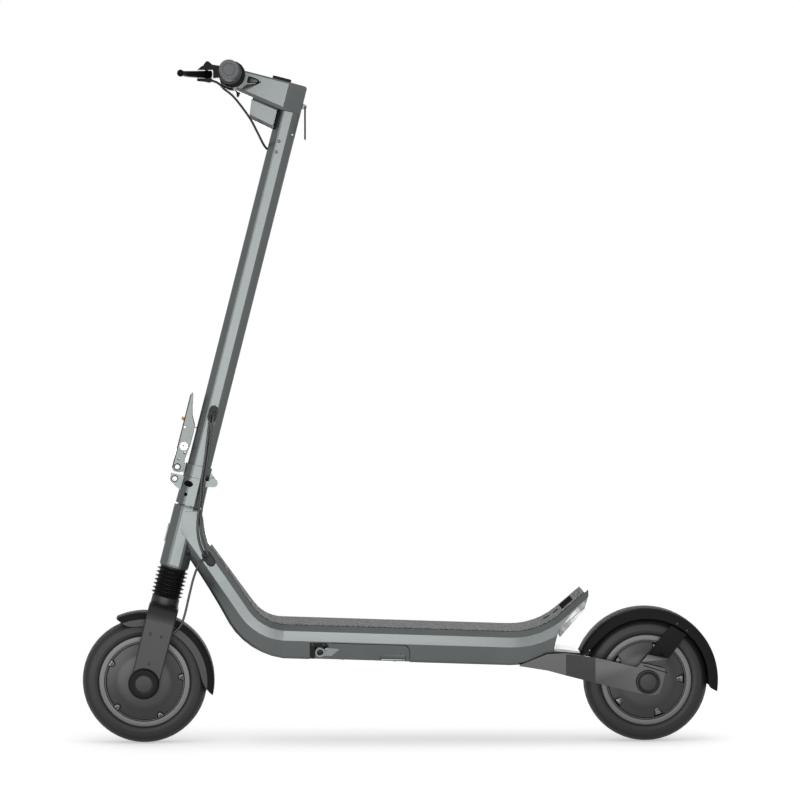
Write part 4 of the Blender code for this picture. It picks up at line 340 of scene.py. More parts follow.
STEEL = metal("ground steel", "steel", (0.56, 0.56, 0.55), 0.28)
LOOP_STEEL = metal("black wire", "steel", (0.02, 0.02, 0.021), 0.35)
BLACK = moulded("black plastic", "black_plastic", (0.0055, 0.0055, 0.0058), 0.45, specular=0.09)
LEVER_BLACK = moulded("lever coating", "black_plastic", (0.003, 0.003, 0.0032), 0.45, depth=0.00002,
                      specular=0.05)
GUARD = moulded("mudguard plastic", "black_plastic", (0.0125, 0.0125, 0.0128), 0.58, depth=0.000004,
                specular=0.04)
STAY_PLASTIC = moulded("stay plastic", "black_plastic", (0.015, 0.015, 0.0154), 0.55, depth=0.00002,
                       specular=0.03)
RUBBER = moulded("black rubber", "black_rubber", (0.0055, 0.0055, 0.0058), 0.36, depth=0.00001, specular=0.17)
PAD = moulded("pad rubber", "black_rubber", (0.02, 0.02, 0.0204), 0.6, specular=0.0)
CABLE = moulded("cable sheath", "black_rubber", (0.01, 0.01, 0.0105), 0.32, 1200, 0.00002, specular=0.45)
GRIP = grip_rubber()
TYRE = moulded("tyre rubber", "tyre_rubber", (0.0135, 0.0137, 0.014), 0.5, 500, 0.00006, specular=0.3)
GRIT = grit()
ORANGE = moulded("orange plastic", "orange_plastic", (0.66, 0.25, 0.008), 0.4, specular=0.25)
PALE = moulded("pale plastic", "silver_alloy", (0.62, 0.64, 0.65), 0.35)
PLATE = moulded("front plate plastic", "silver_alloy", (0.36, 0.37, 0.38), 0.35)
WRAP = wrapped_cells()
TAIL_CELLS = lens_cells()
GLASS = fluted_glass()
SCREEN = moulded("display glass", "black_plastic", (0.012, 0.013, 0.014), 0.15, 90, 0.00001, Coat_Weight=0.6)
# Near black for dark seams, screws and lug seats, and painted shade in holes, gaps and recesses.
DARK_SEAM_AND_SHADE = moulded("dark hollow", "black_plastic", (0.004, 0.004, 0.004), 0.9, specular=0.05)


# Surfaces

def unit(vectors):
    """The vectors at length 1."""
    return vectors / np.maximum(np.linalg.norm(vectors, axis=-1, keepdims=True), 1e-12)


def cells(rows, columns, around, along):
    """The faces of a grid of points, whose rows and columns can close on themselves."""
    i = np.arange(rows if along else rows - 1)[:, None] * columns
    j = np.arange(columns if around else columns - 1)[None, :]
    ahead, beside = (i + columns) % (rows * columns), (j + 1) % columns
    return np.stack((i + j, i + beside, ahead + beside, ahead + j), -1).reshape(-1, 4)


def skin(name, points, finish, body, around=False, along=False, ends=False, sharp=35):
    """A mesh over a grid of points. Flat ends can close its first and its last row."""
    rows, columns = points.shape[:2]
    faces = cells(rows, columns, around, along).tolist()
    if ends:
        faces += [list(range(columns)), list(range((rows - 1) * columns, rows * columns))]
    return shell(name, points.reshape(-1, 3), faces, finish, body, sharp)


def shell(name, verts, faces, finish, body, sharp):
    """A mesh from points and faces, its doubles merged and its faces turned outwards."""
    mesh = bpy.data.meshes.new(name)
    mesh.from_pydata(verts.tolist(), [], faces)
    form = bmesh.new()
    form.from_mesh(mesh)
    bmesh.ops.remove_doubles(form, verts=form.verts, dist=1e-7)
    bmesh.ops.recalc_face_normals(form, faces=form.faces)
    form.to_mesh(mesh)
    form.free()
    return shown(name, mesh, finish, body, sharp)


def added(name, data):
    """A new object of this data, in the scene."""
    obj = bpy.data.objects.new(name, data)
    bpy.context.scene.collection.objects.link(obj)
    return obj


def shown(name, mesh, finish, body, sharp):
    """A piece of this mesh, smooth up to the sharp angle. It rides on its body, if it has one."""
    mesh.shade_smooth()
    mesh.set_sharp_from_angle(angle=math.radians(sharp))
    mesh.materials.append(finish.material)
    piece = added(name, mesh)
    if body:
        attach(piece, body)
    return piece


def stands_for(piece, *nodes):
    """The piece is shown instead of these CAD nodes, which are hidden."""
    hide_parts(*nodes)
    return piece


def fillet(corners, reach, steps=4, closed=True):
    """An outline with each corner swapped for a quadratic curve. The curve starts and ends a reach before and
    after the corner, and never passes the middle of a side."""
    corners = np.asarray(corners, float)
    before, after = np.roll(corners, 1, 0) - corners, np.roll(corners, -1, 0) - corners
    side = np.minimum(np.linalg.norm(before, axis=1), np.linalg.norm(after, axis=1))
    reach = np.minimum(np.broadcast_to(np.asarray(reach, float), len(corners)), 0.48 * side)
    if not closed:
        reach = reach * np.r_[0, np.ones(len(corners) - 2), 0]
    start = corners + unit(before) * reach[:, None]
    end = corners + unit(after) * reach[:, None]
    t = np.linspace(0, 1, steps)[None, :, None]
    curve = (1 - t) ** 2 * start[:, None] + 2 * t * (1 - t) * corners[:, None] + t ** 2 * end[:, None]
    return curve.reshape(-1, corners.shape[1])


def round_trip(count):
    """Evenly spaced angles once around."""
    return np.linspace(0, 2 * np.pi, count, endpoint=False)


def polar(r, y, a):
    """Points around Y: x = r cos a and z = r sin a."""
    return np.stack((r * np.cos(a), y, r * np.sin(a)), -1)


def oblong(x0, z0, x1, z1, reach=0.0, steps=4):
    """The outline of a rectangle between two corners, filleted if it has a reach."""
    corners = np.array(((x0, z0), (x1, z0), (x1, z1), (x0, z1)))
    return fillet(corners, reach, steps) if reach else corners


def turned(name, profile, place, finish, body, steps, axis="Y", closed=True, sharp=35):
    """A profile of (radius, height) turned about the Y or the Z axis of the place: the radius times the
    cosine and the sine of the angle, at the profile's height."""
    profile = np.asarray(profile, float)
    a = round_trip(steps)[None, :]
    points = polar(profile[:, :1], profile[:, 1:] + 0 * a, a)
    if axis == "Z":
        points = points[..., (0, 2, 1)]
    return skin(name, place.world(points), finish, body, around=True, along=closed, sharp=sharp)


def smooth(route, spacing):
    """Points along a Catmull-Rom curve through a route: each span is the usual cubic of four neighbours."""
    route = np.asarray(route, float)
    p = np.vstack((2 * route[0] - route[1], route, 2 * route[-1] - route[-2]))
    spans = np.linalg.norm(p[2:-1] - p[1:-2], axis=1)
    steps = np.maximum(1, np.round(spans / spacing)).astype(int)
    which = np.repeat(np.arange(len(steps)), steps)
    t = ((np.arange(len(which)) - np.repeat(np.cumsum(steps) - steps, steps)) / steps[which])[:, None]
    a, b, c, d = (p[which + k] for k in range(4))
    square, cube = 2 * a - 5 * b + 4 * c - d, 3 * b - a - 3 * c + d
    curve = 0.5 * (2 * b + (c - a) * t + square * t ** 2 + cube * t ** 3)
    return np.vstack((curve, p[-2]))


def tube(name, path, radius, finish, body, sides=12, closed=False, upright=(0.12, 1.0, 0.31)):
    """A round tube: at each point of the path, a circle square to the tangent."""
    path = np.asarray(path, float)
    ahead = np.roll(path, -1, 0) - np.roll(path, 1, 0) if closed else np.gradient(path, axis=0)
    tangent = unit(ahead)
    normal = unit(np.cross(tangent, np.array(upright)))
    other = np.cross(tangent, normal)
    a = round_trip(sides)[None, :, None]
    points = path[:, None] + radius * (np.cos(a) * normal[:, None] + np.sin(a) * other[:, None])
    return skin(name, points, finish, body, around=True, along=closed, ends=not closed, sharp=50)


def slab(name, outline, low, high, place, finish, body, edge=0.0006, steps=3):
    """An outline of (x, z) between two y values. At its rims it shrinks by a quarter circle."""
    low, high = sorted((low, high))
    outline = np.asarray(outline, float)
    normal = unit(np.roll(outline, -1, 0) - np.roll(outline, 1, 0))[:, ::-1] * (1, -1)
    area = np.sum(outline[:, 0] * np.roll(outline[:, 1], -1) - outline[:, 1] * np.roll(outline[:, 0], -1))
    normal = normal * np.sign(area)
    a = np.linspace(0, np.pi / 2, steps)
    inset = np.r_[edge * (1 - np.sin(a)), edge * (1 - np.sin(a[::-1]))]
    level = np.r_[low + edge * (1 - np.cos(a)), high - edge * (1 - np.cos(a[::-1]))]
    flat = outline[None] - normal[None] * inset[:, None, None]
    points = np.stack((flat[..., 0], level[:, None] + 0 * flat[..., 0], flat[..., 1]), -1)
    return skin(name, place.world(points), finish, body, around=True, ends=True)


CHAMFER_SLOPE = 0.4


def eased(node, finish, width, steps=2, angle=28, chamfers=()):
    """A CAD solid with its flats made whole and every edge that turns by more than the angle rounded, shown
    in its place. Each flat keeps its own normal up to the rounding. A chamfer is a point and a direction out
    of the solid, in steering coordinates: past it the sides lean in by the slope times the distance."""
    mesh = NODES[node].data.copy()
    mesh.materials.clear()
    form = bmesh.new()
    form.from_mesh(mesh)
    bmesh.ops.remove_doubles(form, verts=form.verts, dist=2e-6)
    bmesh.ops.dissolve_limit(form, angle_limit=math.radians(0.6), verts=form.verts, edges=form.edges)
    widest = max(vert.co.y for vert in form.verts)
    for point, out in chamfers:
        start = Vector(STEERING.world((point[0], 0, point[1])))
        across = Vector(STEERING.world((point[0] + out[0], 0, point[1] + out[1]))) - start
        bmesh.ops.bisect_plane(form, geom=form.verts[:] + form.edges[:] + form.faces[:], plane_co=start,
                               plane_no=across)
        for vert in form.verts:
            limit = widest - CHAMFER_SLOPE * max(0.0, (vert.co - start).dot(across.normalized()))
            vert.co.y = max(-limit, min(limit, vert.co.y))
    if chamfers:
        bmesh.ops.remove_doubles(form, verts=form.verts, dist=3e-5)
        bmesh.ops.dissolve_limit(form, angle_limit=math.radians(1.5), verts=form.verts, edges=form.edges)
    form.to_mesh(mesh)
    form.free()
    piece = shown(f"{node}_eased", mesh, finish, BODY_OF[node], angle)
    bevel = piece.modifiers.new("rounded edges", "BEVEL")
    bevel.width, bevel.segments = width, steps
    bevel.limit_method, bevel.angle_limit = "ANGLE", math.radians(angle)
    bevel.harden_normals = True
    return stands_for(piece, node)


# Camera, light and floor

def aimed(name, data, place, target):
    """A camera or a lamp at a place, its axis through the target."""
    obj = added(name, data)
    obj.location = place
    obj.rotation_euler = (Vector(target) - Vector(place)).to_track_quat("-Z", "Y").to_euler()
    return obj


lens = bpy.data.cameras.new("camera")
lens.sensor_width, lens.lens = 36.0, 175.9
lens.clip_end = 60.0
bpy.context.scene.camera = aimed("camera", lens, (-0.2145, -6.95, 0.9016), (-0.0009, 0, 0.6097))


def softbox(name, place, target, size, radiance):
    """A square lamp of the given radiance. Its power is pi times its area times that."""
    lamp = bpy.data.lights.new(name, "AREA")
    lamp.shape, lamp.size = "SQUARE", size
    lamp.energy = math.pi * size * size * radiance
    box = aimed(name, lamp, place, target)
    box.visible_camera = False
    return box


softbox("left softbox", (0.2, -7.3, 0.1), (0.2, 0, 0.1), 3.6, 4.8)
softbox("right softbox", (0.2, 7.3, 0.1), (0.2, 0, 0.1), 3.6, 3.6)
softbox("left wing", (-4.4, -7.3, 1.8), (-4.4, 0, 1.8), 5.6, 4.0).visible_diffuse = False
softbox("top softbox", (0.0, -0.6, 3.4), (0, 0, 0), 2.6, 1.4).visible_glossy = False


def backdrop():
    """World and floor. Both are white to the camera and in reflections, and the floor adds its diffuse light
    to a glow, so it is white in the open and grey in the shadow."""
    world = bpy.data.worlds.new("studio")
    bpy.context.scene.world = world
    world.use_nodes = True
    sky = Nodes(world.node_tree)
    strength = sky.direct() * 0.5 + 0.5
    glow = world.node_tree.nodes["Background"]
    glow.inputs["Color"].default_value = (1, 1, 1, 1)
    sky.put(glow.inputs["Strength"], strength)
    paper = Finish("studio floor", None, (0.85, 0.85, 0.85), 0.9, 0.0, specular=0.0)
    paper.set("Emission Color", paper.mixed(paper.direct(), (0, 0, 0, 1), (0.45, 0.45, 0.45, 1)))
    paper.set("Emission Strength", 1.0)
    x, y = np.meshgrid((-1.6, 1.6), (-0.9, 2.2), indexing="ij")
    skin("floor", np.stack((x, y, 0 * x), -1), paper, None)


backdrop()
bpy.context.scene.view_settings.view_transform = "Standard"


# Wheels

CUTS_AROUND = 40
LUGS = 5
WHEEL_ENDS = {"front": (STEERING, "front_wheel"), "rear": (REAR, "rear_wheel")}


def swell(distance, width):
    """A smooth bump: exp(-(distance / width) squared)."""
    return np.exp(-(distance / width) ** 2)


def tyre(end):
    """A tyre on a grid of angle and girth. The crown has two grooves and slanted cuts towards the sides, and
    the side walls have two fine rings; each is a smooth dip or rise along the surface's own normal."""
    place, body = WHEEL_ENDS[end]
    half = fillet([(0.0808, 0.0246), (0.0835, 0.0268), (0.0898, 0.028), (0.101, 0.0262), (0.1075, 0.019),
                   (0.1101, 0.01), (0.1108, 0.0)], 0.009, 6, closed=False)
    outer = np.vstack((half, (half * (1, -1))[-2::-1]))
    length = np.r_[0, np.cumsum(np.linalg.norm(np.diff(outer, axis=0), axis=1))]
    even = np.linspace(0, length[-1], 90)
    outer = np.stack([np.interp(even, length, outer[:, k]) for k in (0, 1)], -1)
    tangent = unit(np.gradient(outer, axis=0))
    outward = tangent[:, ::-1] * (-1, 1)
    outward *= np.sign(outward[len(outward) // 2, 0])
    r, y = outer.T
    a = round_trip(480)[:, None]
    off_centre = np.abs(y)
    grooves = 0.0013 * swell(off_centre - 0.0052, 0.0009)
    slant = np.abs((a * CUTS_AROUND / (2 * np.pi) + off_centre * 55 + (y > 0) * 0.5) % 1.0 - 0.5)
    cuts = 0.0011 * swell(slant, 0.075) * ((off_centre > 0.0085) & (off_centre < 0.0185))
    rings = 0.0004 * (swell(r - 0.0885, 0.0006) + swell(r - 0.0985, 0.0005))
    rise = (rings - grooves)[None] - cuts
    tread = outer[None] + outward[None] * rise[..., None]
    inner = np.broadcast_to(np.array(((0.0808, -0.0246), (0.0808, 0.0246))), (len(a), 2, 2))
    loop = np.concatenate((tread, inner), 1)
    points = place.world(polar(loop[..., 0], loop[..., 1], a))
    return stands_for(skin(f"{end}_tyre_rubber", points, TYRE, body, around=True, along=True, sharp=55),
                      f"{end}_tyre")


def hub(end):
    """The rim and drum with its domed right wall, turned from one profile."""
    place, body = WHEEL_ENDS[end]
    profile = fillet([(0.0812, -0.0256), (0.0797, -0.0268), (0.0716, -0.0268), (0.0712, -0.0263),
                      (0.0712, -0.0224), (0.062, -0.0222), (0.062, 0.02), (0.045, 0.0245), (0.0165, 0.029),
                      (0.0165, 0.0335), (0.036, 0.0312), (0.05, 0.0288), (0.06, 0.0258), (0.0672, 0.0226),
                      (0.0686, 0.0262), (0.0712, 0.0268), (0.0797, 0.0268), (0.0812, 0.0256)],
                     (0.0004, 0.0004, 0.0003, 0.0003, 0.0004, 0.0004, 0.002, 0.006, 0.0005, 0.0006, 0.006,
                      0.006, 0.005, 0.001, 0.0008, 0.0005, 0.0004, 0.0004))
    return stands_for(turned(f"{end}_hub_turned", profile, place, HUB_PAINT, body, 128), f"{end}_hub")


def tomb(inner, outer, half_inner, half_outer):
    """A lug's outline in (radial, sideways) numbers: round towards the axle, wider and flat at its foot."""
    a = np.linspace(-np.pi / 2, np.pi / 2, 9)
    cap = np.stack((inner - half_inner * np.cos(a), half_inner * np.sin(a)), -1)
    return np.vstack((cap, ((outer, half_outer), (outer, -half_outer))))


def cover(end, lug, phase, screw_circle):
    """The drum cover, a dish that domes towards the axle, with five screw lugs."""
    place, body = WHEEL_ENDS[end]
    profile = fillet([(0.0165, -0.0295), (0.0165, -0.0335), (0.036, -0.0322), (0.0465, -0.0305),
                      (0.054, -0.0274), (0.0672, -0.0228), (0.0686, -0.0264), (0.0707, -0.0264),
                      (0.0707, -0.0226), (0.0575, -0.0226), (0.046, -0.0252)],
                     (0.0005, 0.001, 0.006, 0.006, 0.005, 0.001, 0.0004, 0.0004, 0.0003, 0.002, 0.006), 6)
    stands_for(turned(f"{end}_cover_turned", profile, place, COVER_PAINT, body, 128), f"{end}_hub_cover")
    angles = phase + np.arange(LUGS) * 2 * np.pi / LUGS
    for k, a in enumerate(angles):
        radial, across = lug.T
        outline = np.stack((radial * math.cos(a) - across * math.sin(a),
                            radial * math.sin(a) + across * math.cos(a)), -1)
        slab(f"{end}_cover_lug_{k}", outline, -0.0282, -0.023, place, LUG_PAINT, body, 0.0007)
        seat = (outline - outline.mean(0)) * 1.3 + outline.mean(0)
        slab(f"{end}_cover_seat_{k}", seat, -0.0266, -0.023, place, DARK_SEAM_AND_SHADE, body, 0.0002)
    screws(f"{end}_cover_screws", polar(screw_circle, 0 * angles - 0.028, angles), place, body, 0.0019)


def screws(name, spots, place, body, radius, finish=BLACK_PAINT):
    """Button screws with a hexagon socket, facing -Y in their place. The socket's rim runs from a circle to a
    hexagon, whose radius is the apothem over the cosine of the angle within a sixth."""
    a = round_trip(24)
    sixth = (a + np.pi / 6) % (np.pi / 3) - np.pi / 6
    hexagon = 0.5 * np.cos(np.pi / 6) / np.cos(sixth)
    share = np.stack((1 + 0 * a, 1 + 0 * a, 0.93 + 0 * a, hexagon + 0.12, hexagon, hexagon, 0 * a))
    level = np.array((0.6, -0.25, -0.42, -0.55, -0.5, 0.1, 0.1))[:, None]
    one = polar(share * radius, level * radius + 0 * share, a)
    rows, columns = one.shape[:2]
    spots = np.asarray(spots, float).reshape(-1, 3)
    verts = place.world((one.reshape(1, -1, 3) + spots[:, None]).reshape(-1, 3))
    offset = np.arange(len(spots)) * rows * columns
    faces = (cells(rows, columns, True, False)[None] + offset[:, None, None]).reshape(-1, 4).tolist()
    faces += (np.arange(columns)[::-1] + offset[:, None]).tolist()
    return shell(name, verts, faces, finish, body, 30)


for make in (tyre, hub):
    for end in WHEEL_ENDS:
        make(end)
cover("front", tomb(0.0655, 0.07, 0.0042, 0.0058), math.radians(7) + HEAD_ANGLE, 0.066)
cover("rear", tomb(0.058, 0.065, 0.004, 0.0062), math.radians(2), 0.0578)


def axle(end, place, body, outer, cap, face, plate, washer):
    """An axle with a dished round cap outside each arm, in a black washer. The numbers are the arms' half
    spread, the cap's and its face's radius, whether there is a brake plate, and the washer's radius."""
    inside, out = outer + 0.0003, outer + 0.0063
    left = [(0.0, -out + 0.0004), (face - 0.001, -out + 0.0004), (face - 0.0004, -out + 0.0012),
            (face, -out + 0.0012), (face + 0.0006, -out), (cap - 0.0016, -out), (cap, -out + 0.0016),
            (cap, -inside), (0.006, -inside)]
    middle = [(0.006, -0.046), (0.021, -0.046), (0.021, -0.0375), (0.006, -0.0375)] if plate else []
    corners = left + middle + [(r, -y) for r, y in reversed(left)]
    profile = fillet(corners, 0.0006, 4, closed=False)
    piece = turned(f"{end}_axle_turned", profile, place, AXLE_PAINT, body, 64, closed=False)
    stands_for(piece, f"{end}_axle")
    ring = fillet([(face + 0.0009, out - 0.001), (face + 0.0012, out + 0.0003),
                   (washer - 0.003, out + 0.0003), (washer, out - 0.003), (washer, inside),
                   (face + 0.0009, inside)], 0.0012)
    for name, side in SIDES:
        turned(f"{end}_axle_washer_{name}", ring * (1, side), place, BLACK, body, 64)


axle("front", STEERING, "fork", 0.062, 0.0255, 0.0157, True, 0.0275)
axle("rear", REAR, "frame", 0.06, 0.0214, 0.0157, False, 0.0216)


# Mudguards

GUARD_WALL = 0.0022
FRONT_CROWN, REAR_CROWN = 0.124, 0.1289
FRONT_ARCH = (math.radians(3.2), math.radians(127.9), 0.025, (0.106, 0.073))
REAR_ARCH = (math.radians(-9.0), math.radians(159.0), 0.018, (0.03, 0.11))


def skirt_depth(angle, start, end, skirt, fade):
    """The skirt's full depth times, from each end, one less an exponential of the angle over its fade."""
    return skirt * (1 - np.exp((start - angle) / fade[0])) * (1 - np.exp((angle - end) / fade[1]))


def guard(name, place, body, radius, half, arch):
    """An arched guard on a grid of angle and girth. The skirt hangs below the crown by its depth, and the
    inner wall lies one wall inside the outer. An arch is two end angles, a skirt and its fades."""
    start, end, skirt, _ = arch
    angle = start + (end - start) * np.clip(np.linspace(-0.01, 1.01, 142), 0, 1)[:, None]
    deep = 0.0006 + skirt_depth(angle, *arch)
    radial = np.array((1.0, 0.005, 0.0034, 0.0014, 0.0004, 0.0))
    across = np.array((1.0, 1.0, 0.975, 0.9, 0.62, 0.0)) * half
    lower = np.minimum(deep, np.where(radial == 1.0, skirt + 0.001, radial))
    outer_r = radius - np.hstack((lower, lower[:, -2::-1]))
    outer_y = np.r_[across, -across[-2::-1]] + 0 * angle
    wall = np.full_like(angle, GUARD_WALL)
    wall[[0, -1]] = 0
    thin = np.array((0.2, 1, 1, 1, 1, 1, 1, 1, 1, 1, 0.2))
    inner_r = outer_r[:, ::-1] - np.minimum(wall, deep * 0.5) * thin
    inner_y = outer_y[:, ::-1] * (1 - wall / half)
    r, y = np.hstack((outer_r, inner_r)), np.hstack((outer_y, inner_y))
    return skin(name, place.world(polar(r, y, angle)), GUARD, body, around=True, sharp=40)


def lit_skirt_plates():
    """A plate along each skirt of the front guard: its lower edge follows the skirt's, and its upper edge is
    a circle until the skirt gets too shallow. Its paint is lighter than the guard's, a painted highlight for
    the skirt catching the light."""
    angle = np.radians(np.linspace(4.5, 126.3, 130))[:, None]
    low = FRONT_CROWN - skirt_depth(angle, *FRONT_ARCH) + 0.0002
    high = np.maximum(low + 0.0004, 0.1115)
    r = np.hstack((low, high, high, low))
    for name, side in SIDES:
        y = side * np.array((0.034, 0.034, 0.0351, 0.0351)) + 0 * angle
        skin(f"front_guard_lit_skirt_{name}", STEERING.world(polar(r, y, angle)), FORK_PAINT, "fork", around=True,
             ends=True)


stands_for(guard("front_guard_arch", STEERING, "fork", FRONT_CROWN, 0.0345, FRONT_ARCH), "front_mudguard")
lit_skirt_plates()
slab("front_guard_boss", oblong(-0.011, 0.1222, 0.011, 0.1302, 0.001), -0.011, 0.011, STEERING, GUARD, "fork")
stands_for(guard("rear_guard_arch", REAR, "frame", REAR_CROWN, 0.037, REAR_ARCH), "rear_mudguard")
STAY = fillet([(0.0437, 0.0983), (0.0699, 0.082), (0.0388, 0.04), (0.0017, 0.0487)], 0.002)
STAY_FOOT = fillet([(0.0002, 0.0488), (0.0347, 0.0414), (0.03, 0.0256), (-0.0121, 0.0354)], 0.0016)
ARM_SEAM = [(-0.008, 0.0302), (0.034, 0.0172), (0.0337, 0.0156), (-0.0084, 0.0286)]
for name, side in SIDES:
    slab(f"rear_guard_stay_{name}", STAY, side * 0.0363, side * 0.0415, REAR, STAY_PLASTIC, "frame")
    slab(f"rear_guard_foot_{name}", STAY_FOOT, side * 0.0373, side * 0.058, REAR, ARM_PAINT, "frame")
    slab(f"rear_arm_seam_{name}", ARM_SEAM, side * 0.0595, side * 0.0603, REAR, DARK_SEAM_AND_SHADE, "frame", 0.0001, 2)


# Pieces that keep their CAD shape: with rounded edges, then as they are

HEAD_CHAMFERS = (((-0.012, 1.06), (1.0, 0.0)), ((-0.05, 1.0541), (-0.157, -0.988)),
                 ((-0.05, 1.09), (0.0, 1.0)))
LAMP_CHAMFERS = (((-0.0646, 1.0204), (-0.195, -0.981)),)
for node, width in (("deck_frame", 0.0009), ("fold_base", 0.0022), ("stem_foot", 0.0022),
                    ("stem_tube", 0.0036)):
    eased(node, GRAPHITE, width, 4, 12)
for node, chamfers in (("stem_head", HEAD_CHAMFERS), ("headlight_housing", LAMP_CHAMFERS)):
    eased(node, GRAPHITE, 0.0006, 2, 12, chamfers)
LAMP_NECK = [(-0.068, 1.0455), (-0.0212, 1.0384), (-0.0212, 1.0456), (-0.068, 1.0525)]
slab("lamp_neck", fillet(LAMP_NECK, 0.0006), -0.0165, 0.0165, STEERING, FORK_PAINT, "stem", 0.0004)
# The latch lever's rounding isn't clamped, because its shortest edges would all but undo it.
for node, finish, width, *angle in (
        ("rear_fork", ARM_PAINT, 0.0008, 10), ("front_fork", FORK_PAINT, 0.0006, 24),
        ("side_cover", PANEL, 0.0004), ("kickstand_bracket", BLACK_PAINT, 0.0003),
        ("brake_perch", BLACK, 0.0006), ("throttle_housing", BLACK, 0.0006), ("display", BLACK, 0.0006),
        ("throttle_lever", BLACK, 0.0004), ("brake_lever", LEVER_BLACK, 0.0008),
        ("latch_lever", SILVER, 0.0009), ("bell_lever", SILVER, 0.0004), ("power_button", SILVER, 0.0003),
        ("kickstand", LEG_SILVER, 0.0006), ("deck_mat", GRIT, 0.0005, 20), ("latch_hook", BRIGHT, 0.0004),
        ("safety_catch", ORANGE, 0.0003), ("splash_guard", PALE, 0.0005), ("front_plate", PLATE, 0.0004),
        ("tail_light_lens", TAIL_CELLS, 0.0008, 15), ("headlight_lens", GLASS, 0.0005),
        ("charge_cap", RUBBER, 0.0004), ("frame_grommet", RUBBER, 0.0004), ("stem_grommet", RUBBER, 0.0004),
        ("brake_arm", STEEL, 0.0004)):
    eased(node, finish, width, 2, *angle).modifiers[0].use_clamp_overlap = node != "latch_lever"
for finish, nodes in ((STEEL, ("lower_head_bearing", "upper_head_bearing", "front_wheel_bearing",
                               "rear_wheel_bearing_left", "rear_wheel_bearing_right", "motor_stator")),
                      (BLACK_PAINT, ("belly_cover", "steerer_tube")), (WRAP, ("battery_pack",)),
                      (SILVER, ("controller",))):
    for node in nodes:
        slots = NODES[node].data.materials
        slots.clear()
        slots.append(finish.material)

# The gusset that joins the head tube to the deck's rising beam is a plate as wide as the tube, its rims
# rounded until they sink into the tube and the beam. The crotch is a dark plate between the two: painted
# shade for the hollow there.
NECK_WEB = [(-0.3556, 0.4174), (-0.3558, 0.405), (-0.3546, 0.3908), (-0.351, 0.3749),
            (-0.3454, 0.3572), (-0.3369, 0.3394), (-0.328, 0.3235), (-0.3457, 0.311),
            (-0.3635, 0.3341), (-0.3794, 0.3572), (-0.3954, 0.3784), (-0.3901, 0.4174)]
CROTCH_SHADE = [(-0.3825, 0.348), (-0.374, 0.348), (-0.3722, 0.3375), (-0.3762, 0.3322), (-0.3806, 0.339)]
slab("neck_web", fillet(NECK_WEB, 0.009, 6), -0.0262, 0.0262, GROUND, GRAPHITE, "frame", 0.005, 8)
slab("neck_crotch_shade", fillet(CROTCH_SHADE, 0.003, 5), -0.0222, 0.0222, GROUND, FORK_PAINT, "frame", 0.0036, 6)


# Boot and spring

BOOT_BOTTOM, BOOT_TOP, BOOT_RIBS = 0.1553, 0.2056, 7
COIL_BOTTOM, COIL_TOP, COIL_TURNS, COIL_RADIUS = 0.1569, 0.204, 5, 0.0178
AXIS = (math.sin(HEAD_ANGLE), 0.0, math.cos(HEAD_ANGLE))


def boot():
    """A ribbed sleeve. Its radius swings between valley and tip as a raised cosine to a power, so the ribs
    are sharp and the valleys round."""
    t = np.linspace(0, 1, BOOT_RIBS * 16 + 1)
    wave = (0.5 - 0.5 * np.cos(2 * np.pi * BOOT_RIBS * t)) ** 1.4
    outside = np.stack((0.0228 + 0.0056 * wave, BOOT_BOTTOM + (BOOT_TOP - BOOT_BOTTOM) * t), -1)
    profile = np.vstack((outside, ((0.0215, BOOT_TOP), (0.0215, BOOT_BOTTOM))))
    piece = turned("boot_ribbed", profile, STEERING, RUBBER, "steering", 72, "Z", sharp=60)
    stands_for(piece, "suspension_boot")
    tuple(STEERING.world((0, 0, BOOT_TOP)))
    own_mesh(piece)


def spring():
    """A round wire on a helix: angle and height grow together."""
    t = np.linspace(0, 1, 161)
    height = COIL_BOTTOM + (COIL_TOP - COIL_BOTTOM) * t
    path = polar(COIL_RADIUS, height, 2 * np.pi * COIL_TURNS * t)[:, (0, 2, 1)]
    piece = tube("spring_coil", STEERING.world(path), 0.0016, STEEL, "steering", 10, upright=AXIS)
    stands_for(piece, "suspension_spring")
    tuple(STEERING.world((0, 0, BOOT_TOP)))
    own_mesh(piece)


boot()
spring()
turned("fork_collar", fillet([(0.0138, 0.1405), (0.0246, 0.1403), (0.0246, 0.1535), (0.023, 0.1551),
                              (0.0138, 0.1551)], 0.0005), STEERING, FORK_PAINT, "fork", 64, "Z")


# Handlebar and grips

def grip_profile():
    """A grip: an inner flange, a waist, a palm and a ringed end face. The palm's radius is a constant, a low
    half sine along its length and a small sine of the ribs' pitch."""
    first, last, pitch = 0.156, 0.262, 0.0032
    y = np.linspace(first, last, 160)
    arch = np.sin((y - first) / (last - first) * np.pi)
    palm = 0.0162 + 0.0006 * arch + 0.00022 * np.sin(y * 2 * np.pi / pitch)
    start = fillet([(0.0113, 0.146), (0.0203, 0.146), (0.0203, 0.15), (0.0162, 0.1545)], 0.0012, 4, False)
    end = fillet([(0.0167, 0.263), (0.017, 0.268), (0.0158, 0.27), (0.0112, 0.27), (0.0108, 0.269),
                  (0.01, 0.269), (0.0096, 0.2696), (0.0, 0.2696)], 0.0008, 4, False)
    back = np.array(((0.0, 0.2664), (0.0113, 0.2664)))
    return np.vstack((start, np.stack((palm, y), -1), end, back))


for name, side in SIDES:
    grip = turned(f"grip_{name}_ribbed", grip_profile() * (1, side), COCKPIT, GRIP, "stem", 64, sharp=50)
    stands_for(grip, f"grip_{name}")
BAR = fillet([(0.011, -0.266), (0.011, 0.266), (0.0089, 0.266), (0.0089, -0.266)], 0.0004)
stands_for(turned("handlebar_tube", BAR, COCKPIT, BLACK_PAINT, "stem", 64), "handlebar")


# Wire loop behind the stem's head

